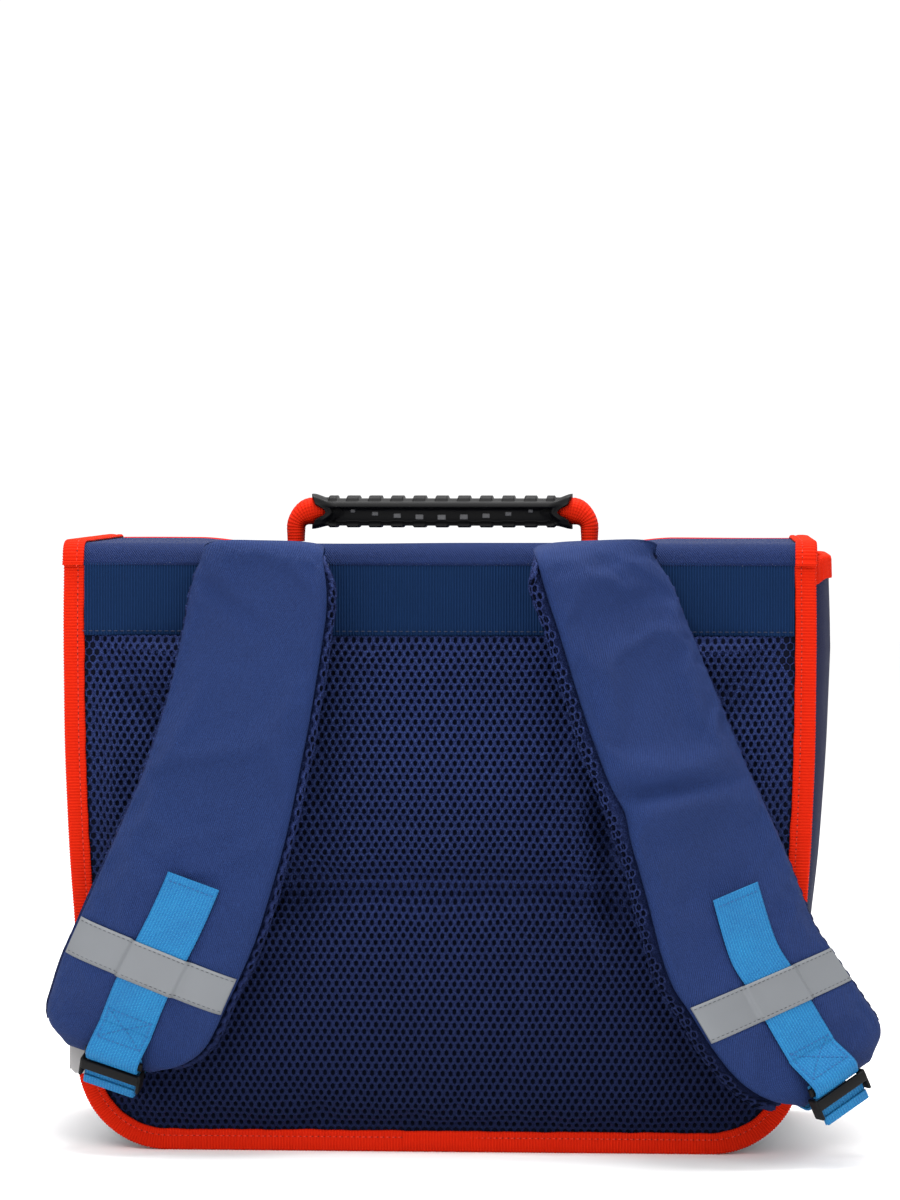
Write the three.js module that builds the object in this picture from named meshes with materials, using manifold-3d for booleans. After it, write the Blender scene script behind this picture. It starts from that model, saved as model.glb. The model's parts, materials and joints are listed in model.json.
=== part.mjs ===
import * as THREE from "three";
import { mergeVertices } from "three/addons/utils/BufferGeometryUtils.js";
import Module from "manifold-3d";

// A school satchel with a closed flap, standing on its base. Millimetres, +Z up.
// X runs along the back panel, Y from the harness side (-) to the front (+).
// The origin is the middle of the flat base. Heights are measured from the floor.

const clearance = 0.3; // between pieces that touch
const bodyWidth = 380; // over the bindings
const panelHeight = 298; // top edge of the back panel, where the flap starts
const bodyDepth = 150; // from the back panel's face to the front panel's face
const cornerRadius = 46; // lower corners

const backBoard = 4;
const padRise = 7;
const padSeam = 3.6; // flat strip between the tape and the pad
const padRoll = 15; // width over which the pad rolls off beside that strip
const frontBoard = 3;
const frontDrop = 2; // its top edge, under the back panel's

const bindingReach = 11; // visible width of the tape
const bindingTuck = 6.4; // the tape's reach on the inner side
const bindingWall = 1.3;

const bandHeight = 37;
const bandWall = 1.8;

const gussetWall = 2;
const gussetRise = 1.5; // its upper edge over the back panel's
const gussetDip = 7; // how far its top edge drops beside the seams
const seamInset = 7;
const sideBulge = 8;
const leftBulge = 2; // the left side lies flatter in the photo
const edgeTapeHeight = 10;
const edgeTapeWall = 1.2;

const flapRise = 9.5; // top of the closed flap over the back panel's top edge
const flapWall = 2.4;
const flapSag = 3.2;
const flapStep = 1.4; // its back lies this far before the back panel's face
const flapBend = 9; // outer radius along its two folds
const flapHang = 232; // drop of the flap over the front
const flapCorner = 34;
const pipingRadius = 1.6;

const handleSetback = 38; // from the back panel's face to the handle's middle
const handleLegGap = 8.2; // from the grip's end to the middle of a webbing leg
const handleGap = 10; // under the grip
const handleTubeWidth = 18;
const handleTubeWall = 8;
const handleTubeBend = 7.4; // bend radius of the tube's middle
const gripLength = 134;
const gripDepth = 28;
const gripHeight = 17;
const ribPitch = 11.8;
const ribWidth = 6.2;
const ribRise = 1.6;
const windowWidth = 4.6;
const windowHeight = 4;
const wingRise = 3.2;
const wingLength = 8;

const strapWidth = 87;
const strapShell = 6;
const strapLining = 5;
const strapRoot = 3; // thickness where it is sewn on
const strapTip = 0.35; // share of its thickness left at its lower edge
const strapTipRoll = 14;
const strapStandOff = 42;
const strapFold = 8.6; // from the panel's top edge up to the middle of the folded strap
const liningStart = 14; // from the fold's end down to the lining's upper edge

const webbingWidth = 28;
const webbingWall = 1.5;
const webbingLength = { left: 104, right: 112 };
const webbingLean = { left: -6, right: 5 }; // its upper end lies beside the strap's middle line
const reflectorWidth = 20;
const reflectorWall = 0.8;
const reflectorFromTip = 56;

const buckleRail = 2.5;
const buckleLength = 24;
const buckleSeat = 8; // from the strap's end back to the buckle's upper bar
const buckleLift = 8.2; // of the buckle's middle over the strap's middle at that bar
const buckleTilt = 14; // degrees; its low end hangs towards the bag
const topBarSize = 4.3;
const topBarWall = 2.4;
const coverBarSize = 5.2;
const coverBarWall = 2.8;
const lowBarSize = 3.2;
const lowBarWall = 2.5;
const tailLength = 9;

const tabWidth = 32;
const tabWall = 1.2;
const tabLength = 20;
const tabRise = 1; // its free end stands off
const tabFoot = 41; // height of its free end
const tabOverhang = 4; // past the outer edge of the binding
const tabSlope = 9.7; // degrees; it bridges from the tape to the edge of the pad

const claspWidth = 34;
const claspHeight = 44;
const claspWall = 8;
const claspSpread = 190;
const claspLift = 8; // over the flap's lower tape

const colours = {
  twill: "#30427a",
  twillDark: "#2b3b6a",
  mesh: "#28305a",
  band: "#1f3459",
  red: "#cf3220",
  blue: "#2f8bc4",
  silver: "#8d969e",
  black: "#26262a",
  grey: "#b4b4b4",
};

const wasm = await Module();
wasm.setup();

const group = new THREE.Group();
const halfWidth = bodyWidth / 2;
const backFace = -bodyDepth / 2;
const frontFace = bodyDepth / 2;
const frontHeight = panelHeight - frontDrop;
const gussetHeight = panelHeight + gussetRise;
const flapHeight = panelHeight + flapRise;
const backInner = backFace + backBoard;
const frontInner = frontFace - frontBoard;
const vec = (x, y, z) => new THREE.Vector3(x, y, z);
const radians = Math.PI / 180;

function add(name, geometry, colour, roughness, metalness = 0) {
  const mesh = new THREE.Mesh(
    geometry,
    new THREE.MeshStandardMaterial({ color: colour, roughness, metalness }),
  );
  mesh.name = name;
  group.add(mesh);
}

function lerpTable(table, key, at, column) {
  let next = table.findIndex((row) => row[key] >= at);
  if (next < 0) next = table.length - 1;
  if (next === 0) return table[0][column];
  const low = table[next - 1];
  const high = table[next];
  const share = (at - low[key]) / (high[key] - low[key]);
  return low[column] + (high[column] - low[column]) * Math.min(share, 1);
}

const smooth = (value) => {
  const held = Math.min(Math.max(value, 0), 1);
  return held * held * (3 - 2 * held);
};

// A closed sheet between two grids of points: rows[j][i] holds its two faces' points.
function sheet(rows) {
  const positions = [];
  const index = [];
  const rowCount = rows.length;
  const columns = rows[0].length;
  for (const row of rows) {
    for (const pair of row) positions.push(...pair[0].toArray(), ...pair[1].toArray());
  }
  const at = (j, i, face) => (j * columns + i) * 2 + face;
  const quad = (a, b, c, d) => index.push(a, b, c, a, c, d);
  const spans = columns - 1;
  for (let j = 0; j + 1 < rowCount; j++) {
    for (let i = 0; i < spans; i++) {
      quad(at(j, i, 0), at(j, i + 1, 0), at(j + 1, i + 1, 0), at(j + 1, i, 0));
      quad(at(j, i, 1), at(j + 1, i, 1), at(j + 1, i + 1, 1), at(j, i + 1, 1));
    }
  }
  for (let i = 0; i < spans; i++) {
    quad(at(0, i, 0), at(0, i, 1), at(0, i + 1, 1), at(0, i + 1, 0));
    const last = rowCount - 1;
    quad(at(last, i, 0), at(last, i + 1, 0), at(last, i + 1, 1), at(last, i, 1));
  }
  for (let j = 0; j + 1 < rowCount; j++) {
    quad(at(j, 0, 0), at(j + 1, 0, 0), at(j + 1, 0, 1), at(j, 0, 1));
    quad(at(j, spans, 0), at(j, spans, 1), at(j + 1, spans, 1), at(j + 1, spans, 0));
  }
  const geometry = new THREE.BufferGeometry();
  geometry.setAttribute("position", new THREE.Float32BufferAttribute(positions, 3));
  geometry.setIndex(volumeOf(positions, index) < 0 ? index.reverse() : index);
  return geometry;
}

function volumeOf(positions, index) {
  const corner = (k) => vec(...positions.slice(index[k] * 3, index[k] * 3 + 3));
  let total = 0;
  for (let k = 0; k < index.length; k += 3) {
    total += corner(k).dot(corner(k + 1).cross(corner(k + 2)));
  }
  return total;
}

function toSolid(geometry) {
  const bare = geometry.clone();
  bare.deleteAttribute("normal");
  bare.deleteAttribute("uv");
  const merged = mergeVertices(bare);
  return new wasm.Manifold(
    new wasm.Mesh({
      numProp: 3,
      vertProperties: new Float32Array(merged.attributes.position.array),
      triVerts: new Uint32Array(merged.index.array),
    }),
  );
}

function toGeometry(solid) {
  const mesh = solid.getMesh();
  const geometry = new THREE.BufferGeometry();
  geometry.setAttribute("position", new THREE.BufferAttribute(mesh.vertProperties, 3));
  geometry.setIndex(new THREE.BufferAttribute(mesh.triVerts, 1));
  return geometry;
}

function block(low, high) {
  const size = high.clone().sub(low);
  const middle = low.clone().add(high).multiplyScalar(0.5);
  return new THREE.BoxGeometry(size.x, size.y, size.z).translate(middle.x, middle.y, middle.z);
}

// The outline of both panels: nearly straight sides and round lower corners.
const taper = [
  { up: 0, wide: 0.962 },
  { up: 0.36, wide: 0.968 },
  { up: 0.5, wide: 0.985 },
  { up: 0.68, wide: 0.997 },
  { up: 0.9, wide: 1 },
  { up: 1, wide: 0.997 },
];
const cornerSteps = 6;
const baseShares = [0.66, 0.33, 0];

const sideAt = (z) => halfWidth * lerpTable(taper, "up", z / panelHeight, "wide");

// Half of the outline, from the top down to the middle of the base, for a panel of one height.
function halfOutline(height) {
  const stations = [];
  const kinks = taper.map((row) => row.up * panelHeight).reverse();
  const levels = kinks.filter((z) => z < height - 1 && z > cornerRadius + 1);
  for (const z of [height, ...levels]) stations.push({ x: sideAt(z), z, nx: 1, nz: 0 });
  const centre = sideAt(cornerRadius) - cornerRadius;
  for (let step = 0; step <= cornerSteps; step++) {
    const angle = (Math.PI / 2) * (step / cornerSteps);
    const nx = Math.cos(angle);
    const nz = -Math.sin(angle);
    const x = centre + cornerRadius * nx;
    stations.push({ x, z: cornerRadius + cornerRadius * nz, nx, nz });
  }
  for (const share of baseShares) stations.push({ x: centre * share, z: 0, nx: 0, nz: -1 });
  return stations;
}

function wholeOutline(height) {
  const right = halfOutline(height);
  const left = right.slice(0, -1).map((p) => ({ ...p, x: -p.x, nx: -p.nx }));
  return [...left, ...right.reverse()];
}

const inset = (station, distance, y) =>
  vec(station.x - station.nx * distance, y, station.z - station.nz * distance);

// Pads of the back panel: a level over each zone, cut by soft valleys.
const valleys = [
  { x1: 0.95, z1: 0.86, x2: 0.71, z2: 0.75, wide: 0.045, deep: 0.75 },
  { x1: 0, z1: 0.455, x2: 0.47, z2: 0.46, wide: 0.034, deep: 0.8 },
  { x1: 0.47, z1: 0.46, x2: 0.46, z2: 0.58, wide: 0.034, deep: 0.6 },
  { x1: 0.46, z1: 0.58, x2: 0.52, z2: 0.86, wide: 0.05, deep: 0.35 },
];
const centreLevel = 0.7; // of the upper middle zone, against the raised side pads
const centreReach = 0.48;
const padTop = panelHeight - bandHeight;

function padLevel(x, z, edgeInset) {
  const across = Math.abs(x) / halfWidth;
  const up = z / panelHeight;
  const fromBand = padTop - z;
  const fromTape = edgeInset - bindingReach - padSeam;
  const edge = smooth(fromTape / padRoll) * smooth(fromBand / (padRoll / 2));
  const inMiddle = smooth((centreReach - across) / 0.08) * smooth((up - 0.47) / 0.05);
  let level = 1 - (1 - centreLevel) * inMiddle;
  for (const v of valleys) {
    const dx = v.x2 - v.x1;
    const dz = v.z2 - v.z1;
    const along = ((across - v.x1) * dx + (up - v.z1) * dz) / (dx * dx + dz * dz);
    const near = Math.min(Math.max(along, 0), 1);
    const away = Math.hypot(across - v.x1 - dx * near, up - v.z1 - dz * near);
    level -= v.deep * level * Math.exp(-((away / v.wide) ** 2));
  }
  return level * edge;
}

// A board cut to the outline. Its face follows the relief, a function of x, z and edge distance.
function board(height, inner, face, relief, columns, extraLevels) {
  const edge = bindingWall + clearance;
  const radius = cornerRadius - edge;
  const centre = sideAt(cornerRadius) - cornerRadius;
  const rows = [];
  for (let step = cornerSteps; step >= 0; step--) {
    const angle = (Math.PI / 2) * (step / cornerSteps);
    rows.push({
      z: cornerRadius - radius * Math.sin(angle),
      half: centre + radius * Math.cos(angle),
    });
  }
  const kinks = taper.map((row) => row.up * panelHeight);
  const levels = [...kinks, ...extraLevels].filter((z) => z > cornerRadius + 1 && z < height - 1);
  levels.sort((a, b) => a - b);
  for (const z of [...levels, height]) {
    if (z - rows[rows.length - 1].z > 0.5) rows.push({ z, half: sideAt(z) - edge });
  }
  const outward = Math.sign(face - inner);
  const grid = rows.map((row) =>
    columns.map((share) => {
      const x = share * row.half;
      const beside = edge + row.half - Math.abs(x);
      const toCorner = cornerRadius - Math.hypot(
        Math.max(Math.abs(x) - centre, 0),
        Math.max(cornerRadius - row.z, 0),
      );
      const edgeInset = row.z < cornerRadius ? Math.min(toCorner, beside) : beside;
      const rise = outward * relief(x, row.z, edgeInset);
      return [vec(x, inner, row.z), vec(x, face + rise, row.z)];
    }),
  );
  return sheet(grid);
}

const bothSides = (shares) => [...shares.map((s) => -s).reverse(), 0, ...shares];
const padColumns = bothSides([0.22, 0.4, 0.47, 0.54, 0.7, 0.82, 0.9, 0.94, 1]);
const padRows = [0.228, 0.32, 0.48, 0.502, 0.525, 0.548, 0.639, 0.868, 0.925, 0.966, 1];
const padLevels = padRows.map((share) => share * padTop);
const backRelief = (x, z, edgeInset) => padRise * padLevel(x, z, edgeInset);
add("back_panel", board(panelHeight, backInner, backFace, backRelief, padColumns, padLevels),
  colours.mesh, 0.9);
const frontColumns = bothSides([0.5, 0.9, 1]);
add("front_panel", board(frontHeight, frontInner, frontFace, () => 0, frontColumns, []),
  colours.twillDark, 0.85);

// Bound edges: a folded tape around a board's edge.
function bindEdge(height, inner, face) {
  const outward = Math.sign(face - inner);
  const near = clearance;
  const far = clearance + bindingWall;
  return sheet(
    wholeOutline(height).map((station) => [
      [
        inset(station, bindingTuck, inner - outward * near),
        inset(station, bindingTuck, inner - outward * far),
      ],
      [inset(station, bindingWall, inner - outward * near), inset(station, 0, inner - outward * far)],
      [inset(station, bindingWall, face + outward * near), inset(station, 0, face + outward * far)],
      [
        inset(station, bindingReach, face + outward * near),
        inset(station, bindingReach, face + outward * far),
      ],
    ]),
  );
}
add("back_binding", bindEdge(panelHeight, backInner, backFace), colours.red, 0.8);
add("front_binding", bindEdge(frontHeight, frontInner, frontFace), colours.red, 0.8);

// Webbing band across the back, between the two runs of the binding.
const bandHalf = sideAt(panelHeight) - bindingReach - clearance;
const bandTop = panelHeight;
const bandFoot = panelHeight - bandHeight;
const bandFace = backFace - clearance - bandWall;
add("top_band", block(
  vec(-bandHalf, bandFace, bandFoot),
  vec(bandHalf, backFace - clearance, bandTop),
), colours.band, 0.75);

// Gusset: side and base strip between the boards, swelling out between its seams.
const swell = [
  { across: 0, out: 0 },
  { across: 0.014, out: 0 },
  { across: 0.05, out: 0.5 },
  { across: 0.11, out: 0.82 },
  { across: 0.22, out: 1 },
  { across: 0.5, out: 1 },
];
const gussetShares = [0, 0.014, 0.05, 0.11, 0.22, 0.5, 0.78, 0.89, 0.95, 0.986, 1];
const gussetBack = backInner + clearance;
const gussetFront = frontInner - clearance;
const bulgeRows = [
  { up: 0, out: 0 },
  { up: 0.16, out: 0.12 },
  { up: 0.5, out: 0.62 },
  { up: 0.85, out: 1 },
  { up: 1, out: 0.9 },
];
const swellAt = (share) => lerpTable(swell, "across", Math.min(share, 1 - share), "out");
const dipAt = (share) => gussetDip * (1 - smooth(Math.min(share, 1 - share) / 0.1));

function gussetPoint(station, share, depth) {
  const most = station.x < 0 ? leftBulge : sideBulge;
  const bulge = most * lerpTable(bulgeRows, "up", station.z / panelHeight, "out");
  const out = (seamInset + bulge) * swellAt(share) - seamInset;
  const y = gussetBack + (gussetFront - gussetBack) * share;
  const point = inset(station, depth - out, y);
  const fromTop = smooth((station.z / gussetHeight - 0.9) / 0.1);
  point.z -= dipAt(share) * fromTop;
  return point;
}
add("gusset", sheet(wholeOutline(gussetHeight).map((station) =>
  gussetShares.map((share) => [
    gussetPoint(station, share, gussetWall),
    gussetPoint(station, share, 0),
  ]),
)), colours.twillDark, 0.85);

// Tape over the gusset's two upper edges, in sections of five corners along the depth.
function gussetTape(side) {
  const station = (z) => ({ x: side * sideAt(z), z, nx: side, nz: 0 });
  const top = station(gussetHeight);
  const foot = station(gussetHeight - edgeTapeHeight);
  const low = clearance;
  const high = clearance + edgeTapeWall;
  const lift = (point, rise) => vec(point.x, point.y, point.z + rise);
  return sheet(gussetShares.slice(1, -1).map((share) => [
    [
      lift(gussetPoint(foot, share, gussetWall + low), 0),
      lift(gussetPoint(foot, share, gussetWall + high), 0),
    ],
    [
      lift(gussetPoint(top, share, gussetWall + low), low),
      lift(gussetPoint(top, share, gussetWall + high), high),
    ],
    [lift(gussetPoint(top, share, -low), low), lift(gussetPoint(top, share, -high), high)],
    [lift(gussetPoint(foot, share, -low), 0), lift(gussetPoint(foot, share, -high), 0)],
  ]));
}
add("gusset_binding_left", gussetTape(-1), colours.red, 0.8);
add("gusset_binding_right", gussetTape(1), colours.red, 0.8);

// Flap: from the back panel's top edge, over the top and down the front.
const flapBack = backFace - flapStep;
const tapeStack = clearance + bindingWall;
const flapFront = frontFace + tapeStack + clearance + tapeStack + flapWall;
const flapFoot = flapHeight - flapHang;
const bendSteps = 4;

function flapProfile() {
  const stations = [{ y: flapBack, z: panelHeight + clearance, ny: -1, nz: 0, sag: 0, up: 0 }];
  const bend = (centreY, from, to) => {
    for (let step = 0; step <= bendSteps; step++) {
      const angle = from + (to - from) * (step / bendSteps);
      const ny = Math.cos(angle);
      const nz = Math.sin(angle);
      const y = centreY + flapBend * ny;
      stations.push({ y, z: flapHeight - flapBend + flapBend * nz, ny, nz, sag: nz ** 2, up: 0 });
    }
  };
  bend(flapBack + flapBend, Math.PI, Math.PI / 2);
  for (const share of [0.3, 0.5, 0.7]) {
    const y = flapBack + (flapFront - flapBack) * share;
    stations.push({ y, z: flapHeight, ny: 0, nz: 1, sag: 1, up: 0 });
  }
  bend(flapFront - flapBend, Math.PI / 2, 0);
  const cornerTop = flapFoot + flapCorner;
  for (const share of [0.66, 0.33]) {
    const z = cornerTop + (flapHeight - flapBend - cornerTop) * share;
    stations.push({ y: flapFront, z, ny: 1, nz: 0, sag: 0, up: 0 });
  }
  return stations;
}

const flapHalf = halfWidth;
const sagAt = (x) => flapSag * (1 - Math.min(Math.abs(x) / flapHalf, 1) ** 2) ** 2;
const flapTopAt = (x) => flapHeight - sagAt(x);
const flapColumns = bothSides([0.2, 0.4, 0.6, 0.8, 1]);
const flapStations = flapProfile();

function flapPoint(station, x, depth) {
  const z = station.z - depth * station.nz - sagAt(x) * station.sag;
  return vec(x, station.y - depth * station.ny, z);
}

function flapRound(radiusInset) {
  const rows = [];
  for (let step = 0; step <= cornerSteps; step++) {
    const angle = (Math.PI / 2) * (step / cornerSteps);
    const reach = flapCorner - radiusInset;
    rows.push({
      half: flapHalf - flapCorner + reach * Math.cos(angle),
      z: flapFoot + flapCorner - reach * Math.sin(angle),
      nx: Math.cos(angle),
      nz: -Math.sin(angle),
    });
  }
  return rows;
}

const flapEdge = bindingWall + clearance;
const flapRows = flapStations.map((station) =>
  flapColumns.map((share) => {
    const x = share * (flapHalf - flapEdge);
    return [flapPoint(station, x, flapWall), flapPoint(station, x, 0)];
  }),
);
for (const row of flapRound(flapEdge)) {
  flapRows.push(flapColumns.map((share) => [
    vec(share * row.half, flapFront - flapWall, row.z),
    vec(share * row.half, flapFront, row.z),
  ]));
}
add("flap", sheet(flapRows), colours.twill, 0.85);

// The flap's tape: up the back corner, over the top, down the front and along its lower edge.
function tapeSection(place, reachOut, reachIn) {
  const near = clearance;
  const far = clearance + bindingWall;
  return [
    [place(reachIn, flapWall + near), place(reachIn, flapWall + far)],
    [place(bindingWall, flapWall + near), place(0, flapWall + far)],
    [place(bindingWall, -near), place(0, -far)],
    [place(reachOut, -near), place(reachOut, -far)],
  ];
}
function flapTape() {
  const side = (direction) => [
    ...flapStations.map((station) => tapeSection(
      (reach, depth) => vec(
        direction * (flapHalf - reach),
        station.y - depth * station.ny,
        station.z - depth * station.nz,
      ),
      bindingReach,
      bindingTuck,
    )),
    ...flapRound(0).map((row) => tapeSection(
      (reach, depth) => vec(
        direction * (row.half - reach * row.nx),
        flapFront - depth,
        row.z - reach * row.nz,
      ),
      bindingReach,
      bindingTuck,
    )),
  ];
  const middle = tapeSection(
    (reach, depth) => vec(0, flapFront - depth, flapFoot + reach),
    bindingReach,
    bindingTuck,
  );
  return sheet([...side(-1), middle, ...side(1).reverse()]);
}
add("flap_binding", flapTape(), colours.red, 0.8);

// Piping on the fold between the flap's top and its front.
function piping() {
  const half = flapHalf - bindingReach - clearance;
  const sides = 6;
  const place = flapBend + clearance + pipingRadius;
  const lean = Math.SQRT1_2;
  const rows = [];
  for (const share of bothSides([0.2, 0.4, 0.6, 0.8, 1])) {
    const x = share * half;
    const y = flapFront - flapBend + place * lean;
    const z = flapHeight - flapBend + place * lean - sagAt(x) / 2;
    const ring = [];
    for (let k = 0; k < sides; k++) {
      const angle = (Math.PI * 2 * (k + 0.5)) / sides;
      ring.push(vec(x, y + pipingRadius * Math.cos(angle), z + pipingRadius * Math.sin(angle)));
    }
    rows.push([
      [ring[0], ring[5]],
      [ring[1], ring[4]],
      [ring[2], ring[3]],
    ]);
  }
  return sheet(rows);
}
add("flap_piping", piping(), colours.red, 0.8);

// Handle: an oval webbing tube from the flap's top, through a ribbed grip and back.
const handleY = backFace + handleSetback;
const gripFoot = flapTopAt(0) + handleGap;
const gripMiddle = gripFoot + gripHeight / 2;
const legX = gripLength / 2 + handleLegGap;

function handleTube() {
  const path = [];
  const legFoot = flapTopAt(legX + handleTubeWall / 2) + clearance;
  path.push({ x: -legX, z: legFoot, turn: 0 });
  const arcSteps = 4;
  for (let step = 0; step <= arcSteps; step++) {
    const turn = (Math.PI / 2) * (step / arcSteps);
    path.push({
      x: -legX + handleTubeBend - handleTubeBend * Math.cos(turn),
      z: gripMiddle - handleTubeBend + handleTubeBend * Math.sin(turn),
      turn,
    });
  }
  const whole = [...path, ...path.map((p) => ({ x: -p.x, z: p.z, turn: Math.PI - p.turn })).reverse()];
  const oval = [[-1, 0], [-0.8, 0.7], [-0.3, 1], [0.3, 1], [0.8, 0.7], [1, 0]];
  return sheet(whole.map((p) => {
    const outX = -Math.cos(p.turn);
    const outZ = Math.sin(p.turn);
    const place = (a, b) => {
      const out = (b * handleTubeWall) / 2;
      return vec(p.x + out * outX, handleY + (a * handleTubeWidth) / 2, p.z + out * outZ);
    };
    return oval.map(([a, b]) => (
      b === 0 ? [place(a, -0.25), place(a, 0.25)] : [place(a, -b), place(a, b)]
    ));
  }));
}
add("handle_webbing", handleTube(), colours.red, 0.8);

function handleGrip() {
  const halfLength = gripLength / 2;
  const halfDepth = gripDepth / 2;
  const core = gripHeight / 2 - ribRise;
  const outline = new THREE.Shape([
    new THREE.Vector2(-halfDepth, -core * 0.5),
    new THREE.Vector2(-halfDepth * 0.72, -core),
    new THREE.Vector2(halfDepth * 0.72, -core),
    new THREE.Vector2(halfDepth, -core * 0.5),
    new THREE.Vector2(halfDepth, core * 0.6),
    new THREE.Vector2(halfDepth * 0.8, core),
    new THREE.Vector2(-halfDepth * 0.8, core),
    new THREE.Vector2(-halfDepth, core * 0.6),
  ]);
  const body = new THREE.ExtrudeGeometry(outline, { depth: gripLength, bevelEnabled: false });
  body.rotateX(Math.PI / 2).rotateZ(Math.PI / 2).translate(-halfLength, 0, 0);
  let solid = toSolid(body);
  const bite = 1;
  const ribCount = 2 * Math.floor((halfLength - ribWidth / 2) / ribPitch) + 1;
  for (let k = 0; k < ribCount; k++) {
    const x = (k - (ribCount - 1) / 2) * ribPitch;
    for (const up of [-1, 1]) {
      const low = up < 0 ? -core - ribRise : core - bite;
      const high = up < 0 ? -core + bite : core + ribRise;
      solid = solid.add(toSolid(block(
        vec(x - ribWidth / 2, -halfDepth * 0.7, low),
        vec(x + ribWidth / 2, halfDepth * 0.7, high),
      )));
    }
  }
  for (const end of [-1, 1]) {
    const from = end * (halfLength - wingLength);
    const tip = end * (halfLength + wingLength * 0.15);
    const wing = new THREE.Shape([
      new THREE.Vector2(from, core - bite),
      new THREE.Vector2(tip, core - bite),
      new THREE.Vector2(tip, core + wingRise),
    ]);
    const raised = new THREE.ExtrudeGeometry(wing, { depth: gripDepth * 0.8, bevelEnabled: false });
    raised.rotateX(Math.PI / 2).translate(0, gripDepth * 0.4, 0);
    solid = solid.add(toSolid(raised));
  }
  const channel = block(
    vec(-gripLength, -handleTubeWidth / 2 - clearance, -handleTubeWall / 2 - clearance),
    vec(gripLength, handleTubeWidth / 2 + clearance, handleTubeWall / 2 + clearance),
  );
  solid = solid.subtract(toSolid(channel));
  for (let k = 0; k + 1 < ribCount; k++) {
    const x = (k + 0.5 - (ribCount - 1) / 2) * ribPitch;
    const window = block(
      vec(x - windowWidth / 2, -gripDepth, -windowHeight / 2),
      vec(x + windowWidth / 2, 0, windowHeight / 2),
    );
    solid = solid.subtract(toSolid(window));
  }
  return toGeometry(solid).translate(0, handleY, gripMiddle);
}
add("handle_grip", handleGrip(), colours.black, 0.5);

// Shoulder straps. Each row places the strap's middle: x of the half width, z of the panel's
// height, out of the stand-off; turn and tilt are the angles of its width, in degrees.
const leftRoute = [
  { x: -0.4537, z: 1.0057, out: 0.5, turn: 18, tilt: 2 },
  { x: -0.4711, z: 0.906, out: 0.58, turn: 18, tilt: 5 },
  { x: -0.5074, z: 0.7735, out: 0.68, turn: 17, tilt: 9 },
  { x: -0.5447, z: 0.671, out: 0.76, turn: 15, tilt: 12 },
  { x: -0.5811, z: 0.588, out: 0.81, turn: 13, tilt: 15 },
  { x: -0.6332, z: 0.492, out: 0.83, turn: 11, tilt: 18 },
  { x: -0.6858, z: 0.4057, out: 0.82, turn: 9, tilt: 20 },
  { x: -0.7642, z: 0.2966, out: 0.72, turn: 8, tilt: 20.5 },
  { x: -0.8095, z: 0.2178, out: 0.57, turn: 8, tilt: 19 },
  { x: -0.8437, z: 0.158, out: 0.44, turn: 8, tilt: 17 },
];
const rightRoute = [
  { x: 0.42, z: 1.005, out: 0.79, turn: 37, tilt: 3 },
  { x: 0.4626, z: 0.942, out: 0.83, turn: 37, tilt: 9 },
  { x: 0.4974, z: 0.879, out: 0.86, turn: 37, tilt: 14 },
  { x: 0.5479, z: 0.79, out: 0.91, turn: 35, tilt: 18 },
  { x: 0.6021, z: 0.7, out: 0.96, turn: 35, tilt: 20 },
  { x: 0.6811, z: 0.5745, out: 1, turn: 36, tilt: 21 },
  { x: 0.7279, z: 0.4936, out: 0.99, turn: 34, tilt: 20 },
  { x: 0.7968, z: 0.3648, out: 0.94, turn: 31, tilt: 19.5 },
  { x: 0.8547, z: 0.3047, out: 0.89, turn: 30, tilt: 20 },
  { x: 0.9221, z: 0.2362, out: 0.85, turn: 29, tilt: 22 },
  { x: 0.9855, z: 0.1738, out: 0.81, turn: 29, tilt: 27 },
  { x: 1.0316, z: 0.1285, out: 0.78, turn: 29, tilt: 31 },
];
// The cut of both straps: half widths on the inner and the outer side, of half the strap's width.
const strapCut = [
  { along: 0, inner: 0.68, outer: 0.68 },
  { along: 0.05, inner: 0.69, outer: 0.69 },
  { along: 0.09, inner: 0.76, outer: 0.76 },
  { along: 0.13, inner: 0.84, outer: 0.84 },
  { along: 0.17, inner: 0.87, outer: 0.87 },
  { along: 0.22, inner: 0.87, outer: 0.87 },
  { along: 0.32, inner: 0.88, outer: 0.88 },
  { along: 0.42, inner: 0.9, outer: 0.9 },
  { along: 0.52, inner: 0.94, outer: 0.94 },
  { along: 0.61, inner: 0.97, outer: 0.975 },
  { along: 0.7, inner: 1, outer: 1 },
  { along: 0.79, inner: 1, outer: 1 },
  { along: 0.865, inner: 0.99, outer: 1 },
  { along: 0.915, inner: 0.94, outer: 1 },
  { along: 0.945, inner: 0.84, outer: 1 },
  { along: 0.965, inner: 0.73, outer: 0.96 },
  { along: 0.985, inner: 0.57, outer: 0.82 },
  { along: 1, inner: 0.34, outer: 0.55 },
];

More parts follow.
